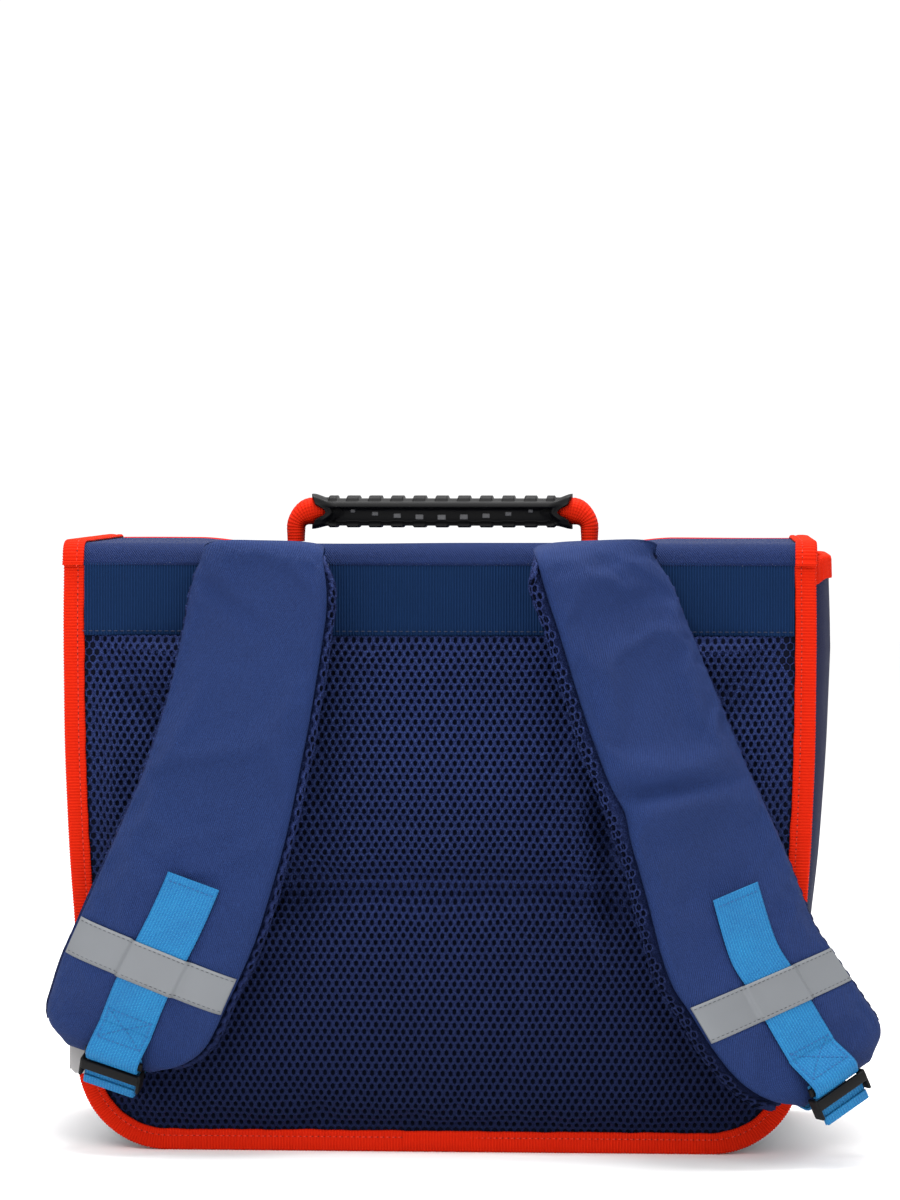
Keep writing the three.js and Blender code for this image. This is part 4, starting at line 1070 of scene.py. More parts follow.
# A sheet's flat size across and along, and its area, in metres, from its grid of points
def cutSize(grid):
    a, b = grid[:-1, 1:] - grid[:-1, :-1], grid[1:, :-1] - grid[:-1, :-1]
    c, d = grid[1:, 1:] - grid[1:, :-1], grid[1:, 1:] - grid[:-1, 1:]
    area = sum(np.linalg.norm(np.cross(*pair), axis=-1).sum() / 2 for pair in ((a, b), (c, d)))
    wide = max(runLength(row)[-1] for row in grid[::8])
    long = max(runLength(row)[-1] for row in grid.transpose(1, 0, 2)[::8])
    return (wide * mm, long * mm), area * mm * mm


flatSize, flatArea = cutSize(flapGrid(flap["wall"] / 2))
flatSize, flatArea = cutSize(gussetPoints(gussetPath, shares, gusset["wall"] / 2))
print("flap made")

# handle
handle = {
    "y": backFace + 38, "leg": 75.2, "gap": 10, "sink": 3.2, "tubeWidth": 18, "tubeWall": 8.6, "bend": 9,
    "length": 134, "depth": 28, "height": 17, "pitch": 11.35, "rib": 6.2, "rise": 1.5, "wing": 2.4,
    "notch": 8, "hollow": 6, "rim": 0.2, "openings": 4, "openingHalf": (2.1, 1.35), "lower": 0.6,
    "plainEnd": 9, "flareEnd": 11, "pullEnd": 12, "notchEnd": 16,
}
handle["middle"] = flap["height"] - handle["sink"] + handle["gap"] + handle["height"] / 2


def handleTube():
    leg = handle["leg"]
    foot = flap["height"] + bag["gap"]
    bend, level = handle["bend"], handle["middle"] + 1
    rows = [(-leg, foot), (-leg, (foot + level - bend) / 2)]
    for turn in np.linspace(0, math.pi / 2, 12):
        rows.append((-leg + (bend - bend * math.cos(turn)) * 1.3, level - bend + bend * math.sin(turn)))
    rows = np.array(rows)
    rows = np.vstack([rows, (rows * [-1, 1])[::-1]])
    even, t = evenly(rows, 0.55)
    tangent = unit(np.gradient(even, axis=0))
    out = np.stack([-tangent[:, 1], tangent[:, 0]], 1)
    angle = np.linspace(0, 2 * math.pi, 28, endpoint=False)
    a = squared(np.cos(angle), 0.75) * handle["tubeWidth"] / 2
    b = squared(np.sin(angle), 0.75) * handle["tubeWall"] / 2
    beside = np.abs(even[:, 0]) - leg
    fat = 1 + 0.6 * smooth((2 - beside) / 9) * smooth((beside + 16) / 8) * smooth((even[:, 1] - foot) / 8)
    slim = 1 - 0.4 * smooth((-beside - 14) / 6)
    fat = (fat * slim)[:, None]
    x, z = (even[:, k, None] + out[:, k, None] * b * fat for k in (0, 1))
    rings = pointGrid(x, handle["y"] + a[None] * slim[:, None], z)
    obj = loft("handle_tube", rings, None, along=t)
    show(woven(obj, t, np.ones(len(angle)), 1.5, 0.07, "red"), "tape_red", "handle_webbing")


handleTube()


# A moulded grip: blocks above and below, a rim over hollowed sides, and forked ends
def handleGrip():
    half, pitch = handle["length"] / 2, handle["pitch"]
    x = np.linspace(-half, half, 420)
    angle = np.linspace(0, 2 * math.pi, 96, endpoint=False)
    c, s = np.cos(angle), np.sin(angle)
    core = handle["height"] / 2 - handle["rise"]
    squareY, squareZ = squared(c, 0.45), squared(s, 0.6)
    phase = (x / pitch + 100.5) % 1 - 0.5
    block = smooth((handle["rib"] / 2 / pitch - np.abs(phase)) / 0.05 + 0.5)
    fromEnd = half - np.abs(x)
    block = block * smooth((fromEnd - handle["plainEnd"]) / 1.2 + 0.5)
    top = smooth((np.abs(s) - 0.5) / 0.1)
    flatY = smooth((0.84 - np.abs(squareY)) / 0.08 + 0.5)
    rise = handle["rise"] * block[:, None] * (top * flatY * np.where(s > 0, 1, handle["lower"]))[None]
    ends = smooth((fromEnd - 3) / 9)
    flank = smooth((handle["rim"] - s) / 0.14) * smooth((s + 0.97) / 0.5)
    hollow = handle["hollow"] * ends[:, None] * flank[None]
    ribs = 0.8 * block[:, None] * (smooth((-0.45 - s) / 0.15) * (np.abs(c) > 0.2))[None]
    flare, pull, cutIn = (smooth(1 - fromEnd / handle[end]) for end in ("flareEnd", "pullEnd", "notchEnd"))
    notch = handle["notch"] * cutIn[:, None] * bell(squareZ / 0.6)[None]
    lift = np.where(s > 0, handle["wing"], -0.7 * handle["wing"]) * top
    y = handle["y"] + squareY[None] * (handle["depth"] / 2 - hollow + ribs) * (1 - 0.12 * pull)[:, None]
    z = handle["middle"] + squareZ[None] * (core + rise) + lift[None] * (flare ** 1.5)[:, None]
    rings = pointGrid(x[:, None] - np.sign(x)[:, None] * notch, y, z)
    middle = np.array([0, handle["y"], handle["middle"]])
    for side in (-1, 1):
        end = rings[0] if side < 0 else rings[-1]
        lip = middle + (end - middle) * [1, 0.84, 0.8]
        deep = lip - [side * 9, 0, 0]
        extra = np.stack([deep, lip] if side < 0 else [lip, deep])
        rings = np.concatenate([extra, rings] if side < 0 else [rings, extra])
    show(loft("handle_grip_moulded", rings, paints["black"]), "plastic_black", "handle_grip")
    front = handle["y"] - handle["depth"] / 2 + handle["hollow"]
    last, (wide, tall) = handle["openings"], handle["openingHalf"]
    windows = [(k, wide - 0.055 * k * k, tall - 0.03 * k * k, 0.2 * k * k) for k in range(-last, last + 1)]
    outermost = [(k, 2.0, 1.3, 3.0) for k in (-last - 1, last + 1)]
    # The grey boxes in the windows are painted light, the bright backdrop seen through the grip's holes; the
    # red ones are the webbing seen through the outermost holes
    for colour, group in (("opening", windows), ("red", outermost)):
        boxes = []
        for k, wide, tall, up in group:
            z = handle["middle"] - 2.6 + up
            boxes.append(((k * pitch - wide, front - 0.5, z - tall), (k * pitch + wide, front + 2, z + tall)))
        show(bars("grip_" + colour + "s", boxes, paints[colour], radius=0.4), "plastic_black")


handleGrip()
print("handle made")

# straps
strap = {
    "width": 87, "shell": 6, "lining": 5, "root": 3, "standOff": 42, "fold": 8.6, "liningStart": -8,
    "bulge": {-1: (4.5, 2), 1: (7.5, 2)}, "roll": 3.7,  # the mesh's roll: how far out, and half its height
    "webWidth": 28, "webWall": 1.5, "tapeWidth": 20, "tapeFromTip": 56, "tip": 0.35, "tipRoll": 14,
    "webLength": {-1: 104, 1: 112}, "webLean": {-1: -6, 1: 5}, "webEnd": 21, "sewnShare": 0.16,
    "edgeRound": 4.5, "endRound": 4, "pucker": 0.28, "dent": 1.6, "flattened": 0.85, "pressed": 0.35,
}
leftRoute = [  # x, z, out, turn, tilt
    (-0.4537, 1.0057, 0.5, 18, 2), (-0.4711, 0.906, 0.58, 18, 5), (-0.5074, 0.7735, 0.68, 17, 9),
    (-0.5447, 0.671, 0.76, 15, 12), (-0.5811, 0.588, 0.81, 13, 15), (-0.6332, 0.492, 0.83, 11, 18),
    (-0.6858, 0.4057, 0.82, 9, 20), (-0.7642, 0.2966, 0.72, 8, 20.5), (-0.8095, 0.2178, 0.57, 8, 19),
    (-0.8437, 0.158, 0.44, 8, 17),
]
rightRoute = [
    (0.42, 1.005, 0.79, 37, 3), (0.4626, 0.942, 0.83, 37, 9), (0.4974, 0.879, 0.86, 37, 14),
    (0.5479, 0.79, 0.91, 35, 18), (0.6021, 0.7, 0.96, 35, 20), (0.6811, 0.5745, 1, 36, 21),
    (0.7279, 0.4936, 0.99, 34, 20), (0.7968, 0.3648, 0.94, 31, 19.5), (0.8547, 0.3047, 0.89, 30, 20),
    (0.9221, 0.2362, 0.85, 29, 22), (0.9855, 0.1738, 0.81, 29, 27), (1.0316, 0.1285, 0.78, 29, 31),
]
# shares of the length, and the half widths there towards the middle and to the outside
cutAlong = [0, 0.05, 0.09, 0.13, 0.17, 0.22, 0.32, 0.42, 0.52, 0.61, 0.7, 0.79]
cutAlong += [0.865, 0.915, 0.945, 0.965, 0.985, 1]
cutUpper = [0.68, 0.69, 0.76, 0.84, 0.87, 0.87, 0.88, 0.9, 0.94]
cutInner = cutUpper + [0.97, 1, 1, 0.99, 0.94, 0.84, 0.73, 0.57, 0.34]
cutOuter = cutUpper + [0.975, 1, 1, 1, 1, 1, 0.96, 0.82, 0.55]
foldRows = [(0, 0.05), (0, 0.5), (0.12, 0.86), (0.4, 1), (0.76, 0.78)]  # across and up, from the root


def makeStrap(route, side):
    rootOut = bag["gap"] + 1.8 + bag["gap"] + strap["root"] / 2
    x0, _, out0, turn0, tilt0 = route[0]
    half, high, stand = bag["halfWidth"], bag["panelHeight"], strap["standOff"]
    rows = []
    for across, rise in foldRows:
        y = backFace - (rootOut + (out0 * stand - rootOut) * across)
        rows.append((x0 * half, y, high + strap["fold"] * rise, turn0 * across * across, tilt0 * across))
    for x, z, out, turn, tilt in route:
        rows.append((x * half, backFace - out * stand, z * high, turn, tilt))
    dense = catmull(rows, 1600)
    s = runLength(dense[:, :3])
    foldEnd = s[int((len(s) - 1) * len(foldRows) / (len(rows) - 1))] / s[-1]
    tangent = unit(np.gradient(dense[:, :3], axis=0))
    return {
        "dense": dense, "s": s / s[-1], "length": s[-1], "tangent": tangent, "side": side, "foldEnd": foldEnd,
    }


# Middle, direction across and direction outwards at shares of a strap's length
def strapFrame(band, along):
    along = np.clip(np.asarray(along, float), 0, 1)
    dense = sampled(along, band["s"], band["dense"])
    tangent = unit(sampled(along, band["s"], band["tangent"]))
    turn, tilt = np.radians(dense[..., 3]), np.radians(dense[..., 4])
    flatX = band["side"] * np.cos(turn) * np.cos(tilt)
    wide = unit(np.stack([flatX, np.sin(turn), np.cos(turn) * np.sin(tilt)], -1))
    return dense[..., :3], wide, unit(band["side"] * np.cross(tangent, wide))


def strapAt(band, along, across, height):
    middle, wide, out = strapFrame(band, along)
    return middle + wide * np.asarray(across)[..., None] + out * np.asarray(height)[..., None]


# Half width on the side that across lies on
def halfAt(along, across):
    halves = []
    for table in (cutInner, cutOuter):
        spread = [np.interp(np.clip(along + d, 0, 1), cutAlong, table) for d in (-0.012, 0, 0.012)]
        halves.append(np.mean(spread, axis=0) * strap["width"] / 2)
    return np.where(across < 0, *halves)


creases = {  # distance from the tip, slope, depth, width, centre across and reach across, in mm
    -1: [(236, 0.55, 1.2, 4, 14, 26), (150, -0.1, 0.6, 7, 0, 50)],
    1: [(168, -0.2, 4.8, 5, -28, 50), (262, 0.2, 1.1, 7, 0, 45), (292, -0.1, 0.8, 6, 10, 40)],
}


def strapCreases(band, fromTip, across):
    total = 0
    for at, slope, deep, wide, centre, reach in creases[band["side"]]:
        line = fromTip - at - slope * across
        fade = bell((across - centre) / reach)
        total = total - deep * fade * bell(line / wide)
        for shift, share in ((2.6, 0.4), (-2.4, 0.6)):  # the swelling beside the crease
            total = total + share * deep * fade * bell((line - shift * wide) / (1.6 * wide))
    return total


def tipShare(band, along):
    near = np.clip((1 - np.asarray(along)) * band["length"] / strap["tipRoll"], 0, 1)
    return strap["tip"] + (1 - strap["tip"]) * np.sqrt(1 - (1 - near) ** 2)


def leanAt(band, fromTip):
    lean, length = strap["webLean"][band["side"]], strap["webLength"][band["side"]]
    return lean * np.maximum(np.asarray(fromTip, float) - strap["webEnd"], 0) / length


# How far the pad has its full thickness past the fold, and its lower side's height
def lowSide(band, along):
    full = smooth((along / band["foldEnd"] - 0.3) / 0.7)
    return full, -strap["root"] / 2 + (strap["root"] / 2 + 0.15) * full


# Height of the twill face over the strap's middle surface
def crown(band, along, across, share):
    full, low = lowSide(band, along)
    root, length = strap["root"] / 2, band["length"]
    top = (root + (strap["shell"] - root) * full) * tipShare(band, along)
    sewn = low + strap["sewnShare"] * (top - low)
    fromTip = (1 - along) * length
    roundness = np.power(np.clip(1 - np.abs(share) ** strap["edgeRound"], 0, 1), 0.5)
    nearTip = 1 - np.clip(fromTip / strap["endRound"], 0, 1)
    endRound = np.power(np.clip(1 - nearTip ** 3, 0, 1), 0.5)
    height = sewn + (top - sewn) * roundness * endRound
    webStart = strap["webLength"][band["side"]]
    beside = np.abs(across - leanAt(band, fromTip))
    under = smooth((webStart - fromTip) / 3) * bell((beside / (strap["webWidth"] / 2 + 2.5)) ** 3)
    dent = bell((fromTip - webStart - 2) / 6) * bell((beside / 22) ** 2)
    puff = 0.5 * wave(along * 17 + band["side"], across / 21) + 0.22 * wave(along * 41, across / 9 + 1)
    nearEdge = smooth((np.abs(share) - 0.72) / 0.25)
    pucker = strap["pucker"] * wave(along * length / 2.6, along * length / 7.1) * nearEdge
    strapTape = bell((np.abs(fromTip - strap["tapeFromTip"]) / (strap["tapeWidth"] / 2 + 1)) ** 4)
    pressed = np.maximum(under, strapTape)
    soft = strapCreases(band, fromTip, across) + puff + pucker - strap["dent"] * dent
    soft = soft * (1 - strap["flattened"] * pressed) - strap["pressed"] * pressed
    return height + full * endRound * roundness * soft


# How far a cloth simulation lifts the twill off its plain shape, on the finer grid
def strapSwell(band, along, share):
    rows, cols = np.linspace(0, 1, 120), np.linspace(-1, 1, 31)
    lines, spans = np.meshgrid(rows, cols, indexing="ij")
    across = spans * halfAt(lines, spans)
    fromTip = (1 - lines) * band["length"]
    points = strapAt(band, lines, across, crown(band, lines, across, spans)).reshape(-1, 3)
    quads, _, _ = gridFaces(len(rows), len(cols), False)
    beside = np.abs(across - leanAt(band, fromTip)) < strap["webWidth"] / 2 + 1
    sewn = beside & (fromTip < strap["webLength"][band["side"]])
    taped = np.abs(fromTip - strap["tapeFromTip"]) < strap["tapeWidth"] / 2 + 1
    held = sewn | taped | (np.abs(spans) > 0.95) | (lines < band["foldEnd"]) | (fromTip < 6)
    if band["side"] < 0:
        quads = quads[:, ::-1]
    moved = puffed(points, quads, held.ravel(), pressure=3.0, grow=0.02, cap=2.2)
    _, _, out = strapFrame(band, lines.ravel())
    lift = np.sum((moved - points) * out, axis=1).reshape(lines.shape)
    fine = np.stack([np.interp(share, cols, row) for row in lift])
    return sampled(along, rows, fine)


def strapTwill(band, name):
    along = np.concatenate([np.linspace(0, band["foldEnd"], 26)[:-1], np.linspace(band["foldEnd"], 1, 190)])
    share = np.sin(np.linspace(-1, 1, 61) * math.pi / 2)
    lines, spans = np.meshgrid(along, share, indexing="ij")
    fromTip = (1 - lines) * band["length"]
    notch = 1
    for at, _, deep, wide, centre, reach in creases[band["side"]]:  # the edge draws in at a crease
        fade = bell((spans * 40 - centre) / reach)
        notch = notch - 0.016 * deep * bell((fromTip - at) / (2.2 * wide)) * fade
    across = spans * (halfAt(lines, spans) * notch)
    full, low = lowSide(band, lines)
    height = crown(band, lines, across, spans) + full * strapSwell(band, along, share)
    over = strapAt(band, lines, across, height)
    return skin(name, over, strapAt(band, lines, across * 0.985, low), paints["twill"])


# How far the roll stands out past the strap's edge, and the mesh's length round it
def rollAt(band, along, p):
    swell = np.where(p < 0, *strap["bulge"][band["side"]])
    pastFold = (along - band["foldEnd"]) * band["length"]
    swell = swell * smooth(pastFold / 14 + 0.35) * (1 + 0.12 * wave(along * 37))
    return swell, math.pi * np.sqrt((swell ** 2 + strap["roll"] ** 2) / 2)


def strapNet(band, name):
    start = band["foldEnd"] + strap["liningStart"] / band["length"]
    run = (1 - start) * band["length"]
    radius = strap["roll"]

    def alongAt(q):
        return 1 - (q + run / 2) / band["length"]

    def inside(p, q):
        along = alongAt(q)
        reach = halfAt(along, p) + rollAt(band, along, p)[1]
        return (np.abs(p) < reach) & (q > -run / 2 + 3) & (q < run / 2 - 1)

    p, q, tris = lattice(strap["width"] + 58, run + 8, inside)
    along = alongAt(q)
    half = halfAt(along, p)
    swell, reach = rollAt(band, along, p)
    turn = math.pi * (np.clip((np.abs(p) - half) / reach, 0, 1) - 0.5)
    turn = turn + 0.25 * (swell ** 2 - radius ** 2) / (swell ** 2 + radius ** 2) * np.sin(2 * turn)
    across = np.minimum(np.abs(p), half) + swell * np.cos(turn)
    height = (radius - strap["lining"] + radius * np.sin(turn)) * tipShare(band, along)
    points = strapAt(band, along, np.sign(p) * across, height + 0.25 * wave(along * 31, p / 13))
    area = np.cross(points[tris[:, 1]] - points[tris[:, 0]], points[tris[:, 2]] - points[tris[:, 0]])
    _, _, out = strapFrame(band, along[tris[:, 0]])
    under = np.abs(p[tris[:, 0]]) < half[tris[:, 0]] - 6
    if np.sum(area[under] * out[under]) > 0:
        tris = tris[:, ::-1]
    _, wide, _ = strapFrame(band, along)
    return net(name, points, tris, wide)


ribbonSection = np.array([  # a rounded half section, then the flat lower side: across and out
    (-1, 0), (-0.97, 0.62), (-0.9, 1), (-0.45, 1), (0, 1), (0.45, 1), (0.9, 1), (0.97, 0.62), (1, 0),
    (0.97, -0.62), (0.9, -1), (0, -1), (-0.9, -1), (-0.97, -0.62),
])


# A ribbon with rounded edges along points, wide along its own directions
def ribbonPiece(name, points, wides, width, wall, material):
    points, wides = np.asarray(points), unit(np.asarray(wides))
    normal = unit(np.cross(unit(np.gradient(points, axis=0)), wides))
    halves = np.broadcast_to(np.asarray(width, float) / 2, len(points))[:, None, None]
    rings = (points[:, None] + wides[:, None] * (ribbonSection[None, :, 0, None] * halves)
             + normal[:, None] * (ribbonSection[None, :, 1, None] * wall / 2))
    return loft(name, rings, material, along=runLength(points))


# Blue webbing with its fine ribs along a table of points and directions across
def webbing(name, table, width):
    obj = ribbonPiece(name, table[:, :3], table[:, 3:], width, strap["webWall"], None)
    return woven(obj, runLength(table[:, :3]), np.ones(len(ribbonSection)), 2.2, 0.04, "blue")


def tipFrame(band):
    middle, wide, out = (v[0] for v in strapFrame(band, np.array([1.0])))
    down = unit(np.cross(wide, out) * band["side"])
    tangent = band["tangent"][-1]
    return {"middle": middle, "wide": wide, "out": out, "down": down if down @ tangent > 0 else -down}


buckle = {
    "rail": 2.5, "seat": 8, "lift": 8.2, "tilt": 14, "topSize": 4.3, "topWall": 2.4, "topFoot": 0.6,
    "coverSize": 5.2, "coverWall": 2.8, "coverFoot": 3.2, "lowSize": 3.2, "lowWall": 2.5, "tail": 9,
}
loopGap = bag["gap"] + strap["webWall"] / 2
buckle["coverStart"] = buckle["topSize"] + 2 * bag["gap"] + strap["webWall"]
buckle["lowTop"] = buckle["coverFoot"] - 3 * bag["gap"] - strap["webWall"]
buckle["lowStart"] = buckle["coverStart"] + buckle["coverSize"] + bag["gap"]


# The buckle's own frame: its upper bar on the strap's end, its low end tilted to the bag
def buckleFrame(band):
    tip = tipFrame(band)
    tilt = math.radians(buckle["tilt"])
    return {
        "middle": tip["middle"] - tip["down"] * buckle["seat"] + tip["out"] * buckle["lift"],
        "wide": tip["wide"],
        "down": tip["down"] * math.cos(tilt) - tip["out"] * math.sin(tilt),
        "out": tip["out"] * math.cos(tilt) + tip["down"] * math.sin(tilt),
    }


def tipAt(tip, down, height, across=0):
    return tip["middle"] + tip["down"] * down + tip["out"] * height + tip["wide"] * across


def strapWebbing(band, name):
    hold = buckleFrame(band)
    length = strap["webLength"][band["side"]]
    fromTip = np.linspace(length, strap["webEnd"], 40)
    middle, wide, out = strapFrame(band, 1 - fromTip / band["length"])
    top = strap["shell"] + 2 * bag["gap"] + strap["webWall"] / 2 - 0.1
    line = list(middle + out * top + wide * leanAt(band, fromTip)[:, None])
    bar, low = buckle["topSize"], buckle["topFoot"]
    high = low + buckle["topWall"]
    loop = [(-1, high + loopGap + 0.2), (bar, high + loopGap), (bar + loopGap, high), (bar + loopGap, low),
            (bar, low - loopGap), (-0.6, low - loopGap)]
    line += [tipAt(hold, down, height) for down, height in loop]
    wides = list(wide) + [hold["wide"]] * len(loop)
    rows, s = evenly(catmull(np.hstack([np.array(line), np.array(wides)]), 600), 0.45)
    obj = webbing(name, rows, strap["webWidth"])
    normal = unit(np.cross(unit(np.gradient(rows[:, :3], axis=0)), unit(rows[:, 3:])))
    table = np.hstack([rows, normal * np.sign(normal[0] @ out[0])])
    s = runLength(rows[:, :3])

    def onWeb(distance, across):
        at = sampled(distance, s, table)
        return at[:3] + unit(at[3:6]) * across + unit(at[6:]) * (strap["webWall"] / 2 + 0.12)

    end = length - strap["webEnd"]
    w = strap["webWidth"] / 2 - 2.6
    corners = [(end - 6, -w), (end + 10, -w), (end + 10, w), (end - 6, w), (end - 6, -w)]
    sewn = []
    for turns in (corners, [corners[0], corners[2]], [corners[3], corners[1]]):
        dense = np.concatenate([np.linspace(a, b, 12) for a, b in zip(turns[:-1], turns[1:])])
        sewn.append(np.array([onWeb(*pair) for pair in dense]))
    sewn.append(np.array([onWeb(4, a) for a in np.linspace(-w, w, 12)]))  # the hem
    stitches(name + "_stitches", sewn, "blueThread", "webbing_blue", 2.4, 1.9, 0.5)
    return obj


def reflector(band, name):
    middle, reach = strap["tapeFromTip"], strap["tapeWidth"] / 2
    across = float(halfAt(1 - middle / band["length"], -1)), float(halfAt(1 - middle / band["length"], 1))

    # the strap's face under the tape, raised where the webbing lies between them
    def face(along, wide, tips):
        beside = np.abs(wide - leanAt(band, tips))
        over = smooth((strap["webWidth"] / 2 + 2.8 - beside) / 3.0) * (2 * bag["gap"] + strap["webWall"])
        return crown(band, along, wide, wide / halfAt(along, wide)) + over

    fromTip = middle + np.linspace(-reach, reach, 9)
    spans = np.linspace(-across[0] * 0.985, across[1] * 0.985, 120)
    tips, wide = np.meshgrid(fromTip, spans, indexing="ij")
    along = 1 - tips / band["length"]
    height = face(along, wide, tips) + 0.35 + 0.12 * wave(wide / 6, tips / 5)
    height = height - 0.25 * bell((np.abs(tips - middle) - reach + 1.6) / 0.7)
    top = strapAt(band, along, wide, height + 0.45)
    obj = skin(name, top, strapAt(band, along, wide, height - 0.1), paints["silver"])
    lines = []
    spans = np.linspace(-across[0] * 0.95, across[1] * 0.95, 60)
    for side in (-1, 1):
        tips = middle + side * (reach - 1.6)
        along = 1 - np.full(len(spans), tips) / band["length"]
        lines.append(strapAt(band, along, spans, face(along, spans, tips) + 0.72))
    return obj, lines


def strapBuckle(band, name):
    hold = buckleFrame(band)
    inner = strap["webWidth"] / 2 + bag["gap"] + 0.2
    outer = inner + buckle["rail"] * 0.7
    foot, top = buckle["lowTop"] - buckle["lowWall"], buckle["coverFoot"] + buckle["coverWall"]
    railStart, railEnd = buckle["coverStart"] - 0.6, buckle["lowStart"] + buckle["lowSize"] + 1.6
    rails = ((-outer, -inner), (inner, outer))
    boxes = [((near, railStart, foot), (far, railEnd, top - 0.6)) for near, far in rails]
    for start, size, low, high in (
        (0, buckle["topSize"], buckle["topFoot"], buckle["topFoot"] + buckle["topWall"]),
        (buckle["coverStart"], buckle["coverSize"], buckle["coverFoot"], top),
        (buckle["lowStart"], buckle["lowSize"], foot, buckle["lowTop"]),
    ):
        boxes.append(((-inner - 1, start, low), (inner + 1, start + size, high)))

    def move(points):
        return (hold["middle"] + hold["wide"] * points[:, :1] + hold["down"] * points[:, 1:2]
                + hold["out"] * points[:, 2:])
    return bars(name, boxes, paints["black"], move=move)


tab = {
    "width": 32, "wall": 1.2, "length": 20, "rise": 1, "foot": tabFoot, "overhang": 4,
    "slope": math.radians(9.7), "coverRound": 7, "coverNarrow": 9,
}
lowerWeb = {"narrow": 7, "from": 0.45, "over": 0.2, "hem": 4.5}


def outlineAt(z):
    low = max(bag["corner"] - z, 0)
    return float(sideAt(max(z, bag["corner"]))) - bag["corner"] + math.sqrt(bag["corner"] ** 2 - low ** 2)


def tabFrame(side):
    edgeX = outlineAt(tab["foot"] + tab["length"] / 2)
    x = edgeX + tab["overhang"] - tab["width"] / 2
    out = stackStep + bag["gap"] + tab["wall"] / 2 + math.tan(tab["slope"]) * (edgeX - x)
    middle = np.array([side * x, backFace - out, tab["foot"]])
    return middle, np.array([side * math.cos(tab["slope"]), math.sin(tab["slope"]), 0])


def tabAt(spot, up, out):
    return spot[0] + np.array([0, -out, up])


def anchorTab(side, name):
    spot = tabFrame(side)
    rows = catmull([tabAt(spot, tab["length"] * k, tab["rise"] * (k == 0)) for k in (0, 0.4, 1)], 30)
    outer = rows + [0, -(tab["wall"] + 2 * bag["gap"] + strap["webWall"] + 0.3), 0]
    upper = outer[0] - [0, 0, 1.5]
    outer = np.vstack([upper, outer])
    rise = np.clip((outer[:, 2] - upper[2] + 0.4) / tab["coverRound"], 0, 1)
    wide = tab["width"] - 1 - tab["coverNarrow"] * (1 - np.sqrt(1 - (1 - rise) ** 2))
    wides = np.tile(spot[1], (len(outer), 1))
    show(ribbonPiece(name + "_cover", outer, wides, wide, tab["wall"], paints["grey"]), "tab_grey")
    return ribbonPiece(name, rows, wides[1:], tab["width"], tab["wall"], paints["grey"])


def adjuster(band, name):
    tip, hold, spot = tipFrame(band), buckleFrame(band), tabFrame(band["side"])
    wall, bar, top = strap["webWall"], buckle["lowStart"], buckle["lowTop"]
    onTab = tab["wall"] / 2 + bag["gap"] + wall / 2
    tail = [(bar + buckle["tail"], top + loopGap), (bar + 3, top + loopGap),
            (bar - loopGap * 0.45, top + loopGap), (bar - loopGap, top + loopGap * 0.45),
            (bar - loopGap, top - buckle["lowWall"] - 1)]
    rows = [tipAt(hold, down, height) for down, height in tail]
    rows.append(tipAt(tip, wall * 2, -strap["lining"] - 2))
    wides = [tip["wide"]] * len(rows)
    foot = [tabAt(spot, wall, tab["rise"] + onTab + wall), tabAt(spot, tab["length"] * 0.4, onTab),
            tabAt(spot, tab["length"] * 0.7, onTab), tabAt(spot, tab["length"] - wall, onTab)]
    start = rows[-1]
    for share in (0.35, 0.7):
        rows.append(start * (1 - share) + foot[0] * share)
        wides.append(unit(tip["wide"] * (1 - share) + spot[1] * share))
    rows += foot
    wides += [spot[1]] * len(foot)
    table, _ = evenly(catmull(np.hstack([np.array(rows), np.array(wides)]), 600), 0.5)
    s = runLength(table[:, :3])
    wide = strap["webWidth"] - lowerWeb["narrow"] * smooth((s / s[-1] - lowerWeb["from"]) / lowerWeb["over"])
    obj = webbing(name, table, wide)
    spans = np.linspace(0, lowerWeb["hem"], 10)
    hem = np.array([tipAt(hold, bar + buckle["tail"] - k, top + loopGap + 1.4) for k in spans])
    wides = np.tile(tip["wide"], (len(hem), 1))
    return obj, ribbonPiece(name + "_hem", hem, wides, strap["webWidth"] - 0.6, 1.2, paints["blue"])


for name, side in sides.items():
    sling = makeStrap(leftRoute if side < 0 else rightRoute, side)
    show(strapTwill(sling, "strap_twill_" + name), "twill", "strap_" + name, fill=0.6)
    show(strapNet(sling, "strap_mesh_" + name), "mesh", "strap_lining_" + name, fill=0.6)
    show(strapWebbing(sling, "strap_web_" + name), "webbing_blue", "strap_webbing_" + name)
    crossTape, tapeLines = reflector(sling, "reflective_tape_" + name)
    show(crossTape, "reflective", "reflector_" + name)
    stitches("reflective_tape_stitches_" + name, tapeLines, "greyThread", "reflective", 2.6, 1.9, 0.45)
    show(strapBuckle(sling, "ladder_lock_" + name), "plastic_black", "buckle_" + name)
    show(anchorTab(side, "corner_tab_" + name), "tab_grey", "anchor_tab_" + name)
    lower, hem = adjuster(sling, "lower_web_" + name)
    show(lower, "webbing_blue", "adjuster_" + name)
    show(hem, "webbing_blue")
print("straps made")

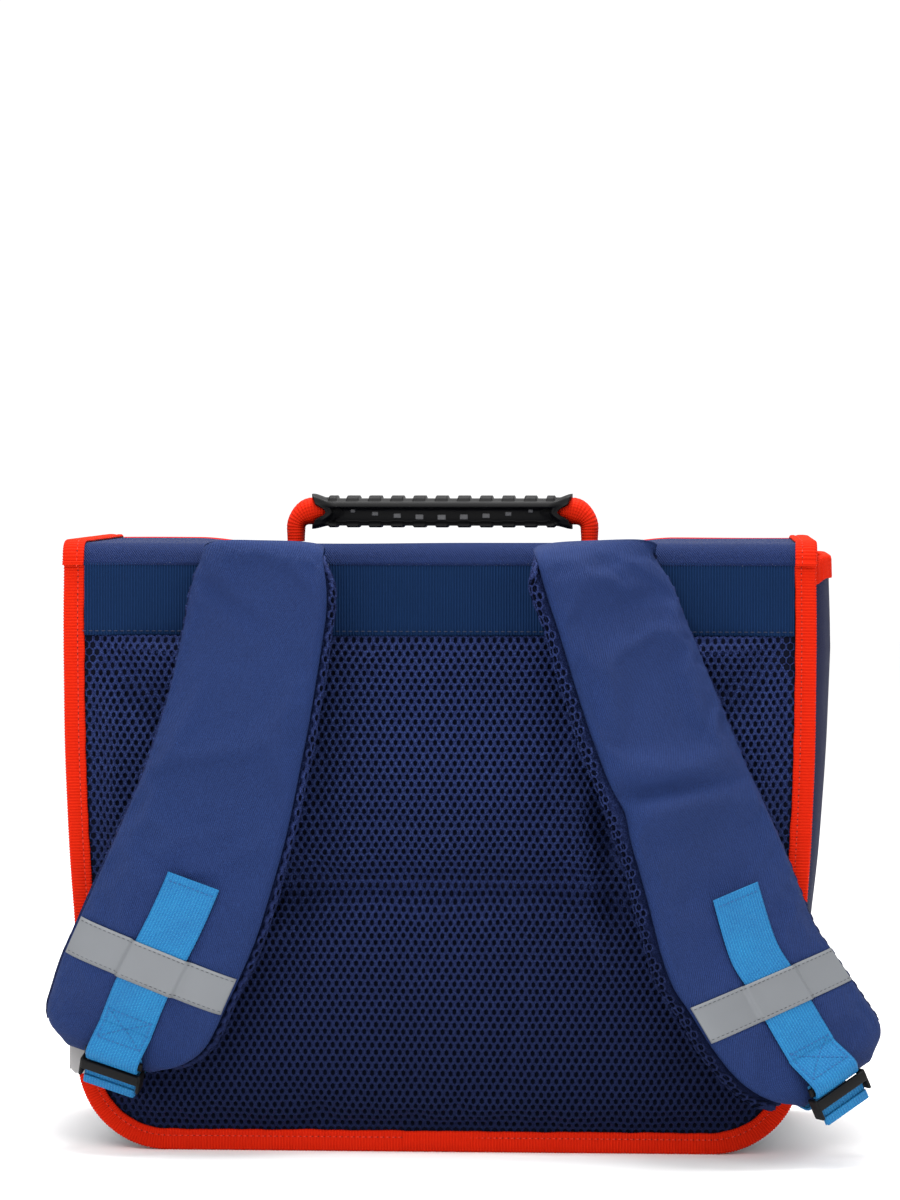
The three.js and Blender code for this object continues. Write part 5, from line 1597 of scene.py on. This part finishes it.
# front clasps: a block with a raised plate and a foot
for name in sides:
    low, high = (np.array(corner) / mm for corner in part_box("clasp_" + name))
    plate = (low + [4, 6.5, 20], high + [-4, 1.2, -5])
    foot = (low + [9, 6.5, 6], high + [-9, 0.8, -30])
    piece = bars("front_clasp_" + name, [(low, high), plate, foot], paints["black"], radius=1.6)
    show(piece, "plastic_black", "clasp_" + name)
print("clasps made")

# floor, light, camera
floorHalf = 6  # metres
corners = [(x * floorHalf, y * floorHalf, 0) for x, y in ((-1, -1), (1, -1), (1, 1), (-1, 1))]
floorMesh = bpy.data.meshes.new("floor")
floorMesh.from_pydata(corners, [], [(0, 1, 2, 3)])
floor = place(bpy.data.objects.new("floor", floorMesh), None)
floorPaint = Paint("paleFloor", Roughness=0.9)
floorPaint.shader.inputs["Base Color"].default_value = (0.93, 0.93, 0.93, 1)
floorMesh.materials.append(floorPaint.material)

world = bpy.data.worlds.new("studio")
bpy.context.scene.world = world
world.use_nodes = True
background = world.node_tree.nodes["Background"]
background.inputs["Color"].default_value = (1, 1, 1, 1)
background.inputs["Strength"].default_value = 1.08


def areaLight(name, at, aim, size, power):
    light = bpy.data.lights.new(name, "AREA")
    light.shape, light.size, light.energy = "SQUARE", size, power
    obj = bpy.data.objects.new(name, light)
    obj.location = at
    obj.rotation_euler = (Vector(aim) - Vector(at)).to_track_quat("-Z", "Y").to_euler()
    bpy.context.scene.collection.objects.link(obj)


areaLight("topLight", (0.05, 0.22, 1.7), (0, -0.05, 0.1), 0.5, 26)
areaLight("grazingLight", (-0.06, -0.4, 1.6), (0, -0.1, 0.15), 0.35, 9)
areaLight("frontLight", (-0.2, -1.2, 1.2), (0, -0.08, 0.2), 0.9, 11)

view = {"lens": 128.3, "at": (0.130, -2.222, 0.35), "aim": (0.006, -0.075, 0.279)}
camera = bpy.data.cameras.new("camera")
camera.sensor_width = 36
camera.lens = view["lens"]
eye = bpy.data.objects.new("camera", camera)
eye.location = view["at"]
aim = Vector(view["aim"])
eye.rotation_euler = (aim - eye.location).to_track_quat("-Z", "Y").to_euler()
bpy.context.scene.collection.objects.link(eye)
bpy.context.scene.camera = eye
bpy.context.scene.view_settings.view_transform = "Standard"
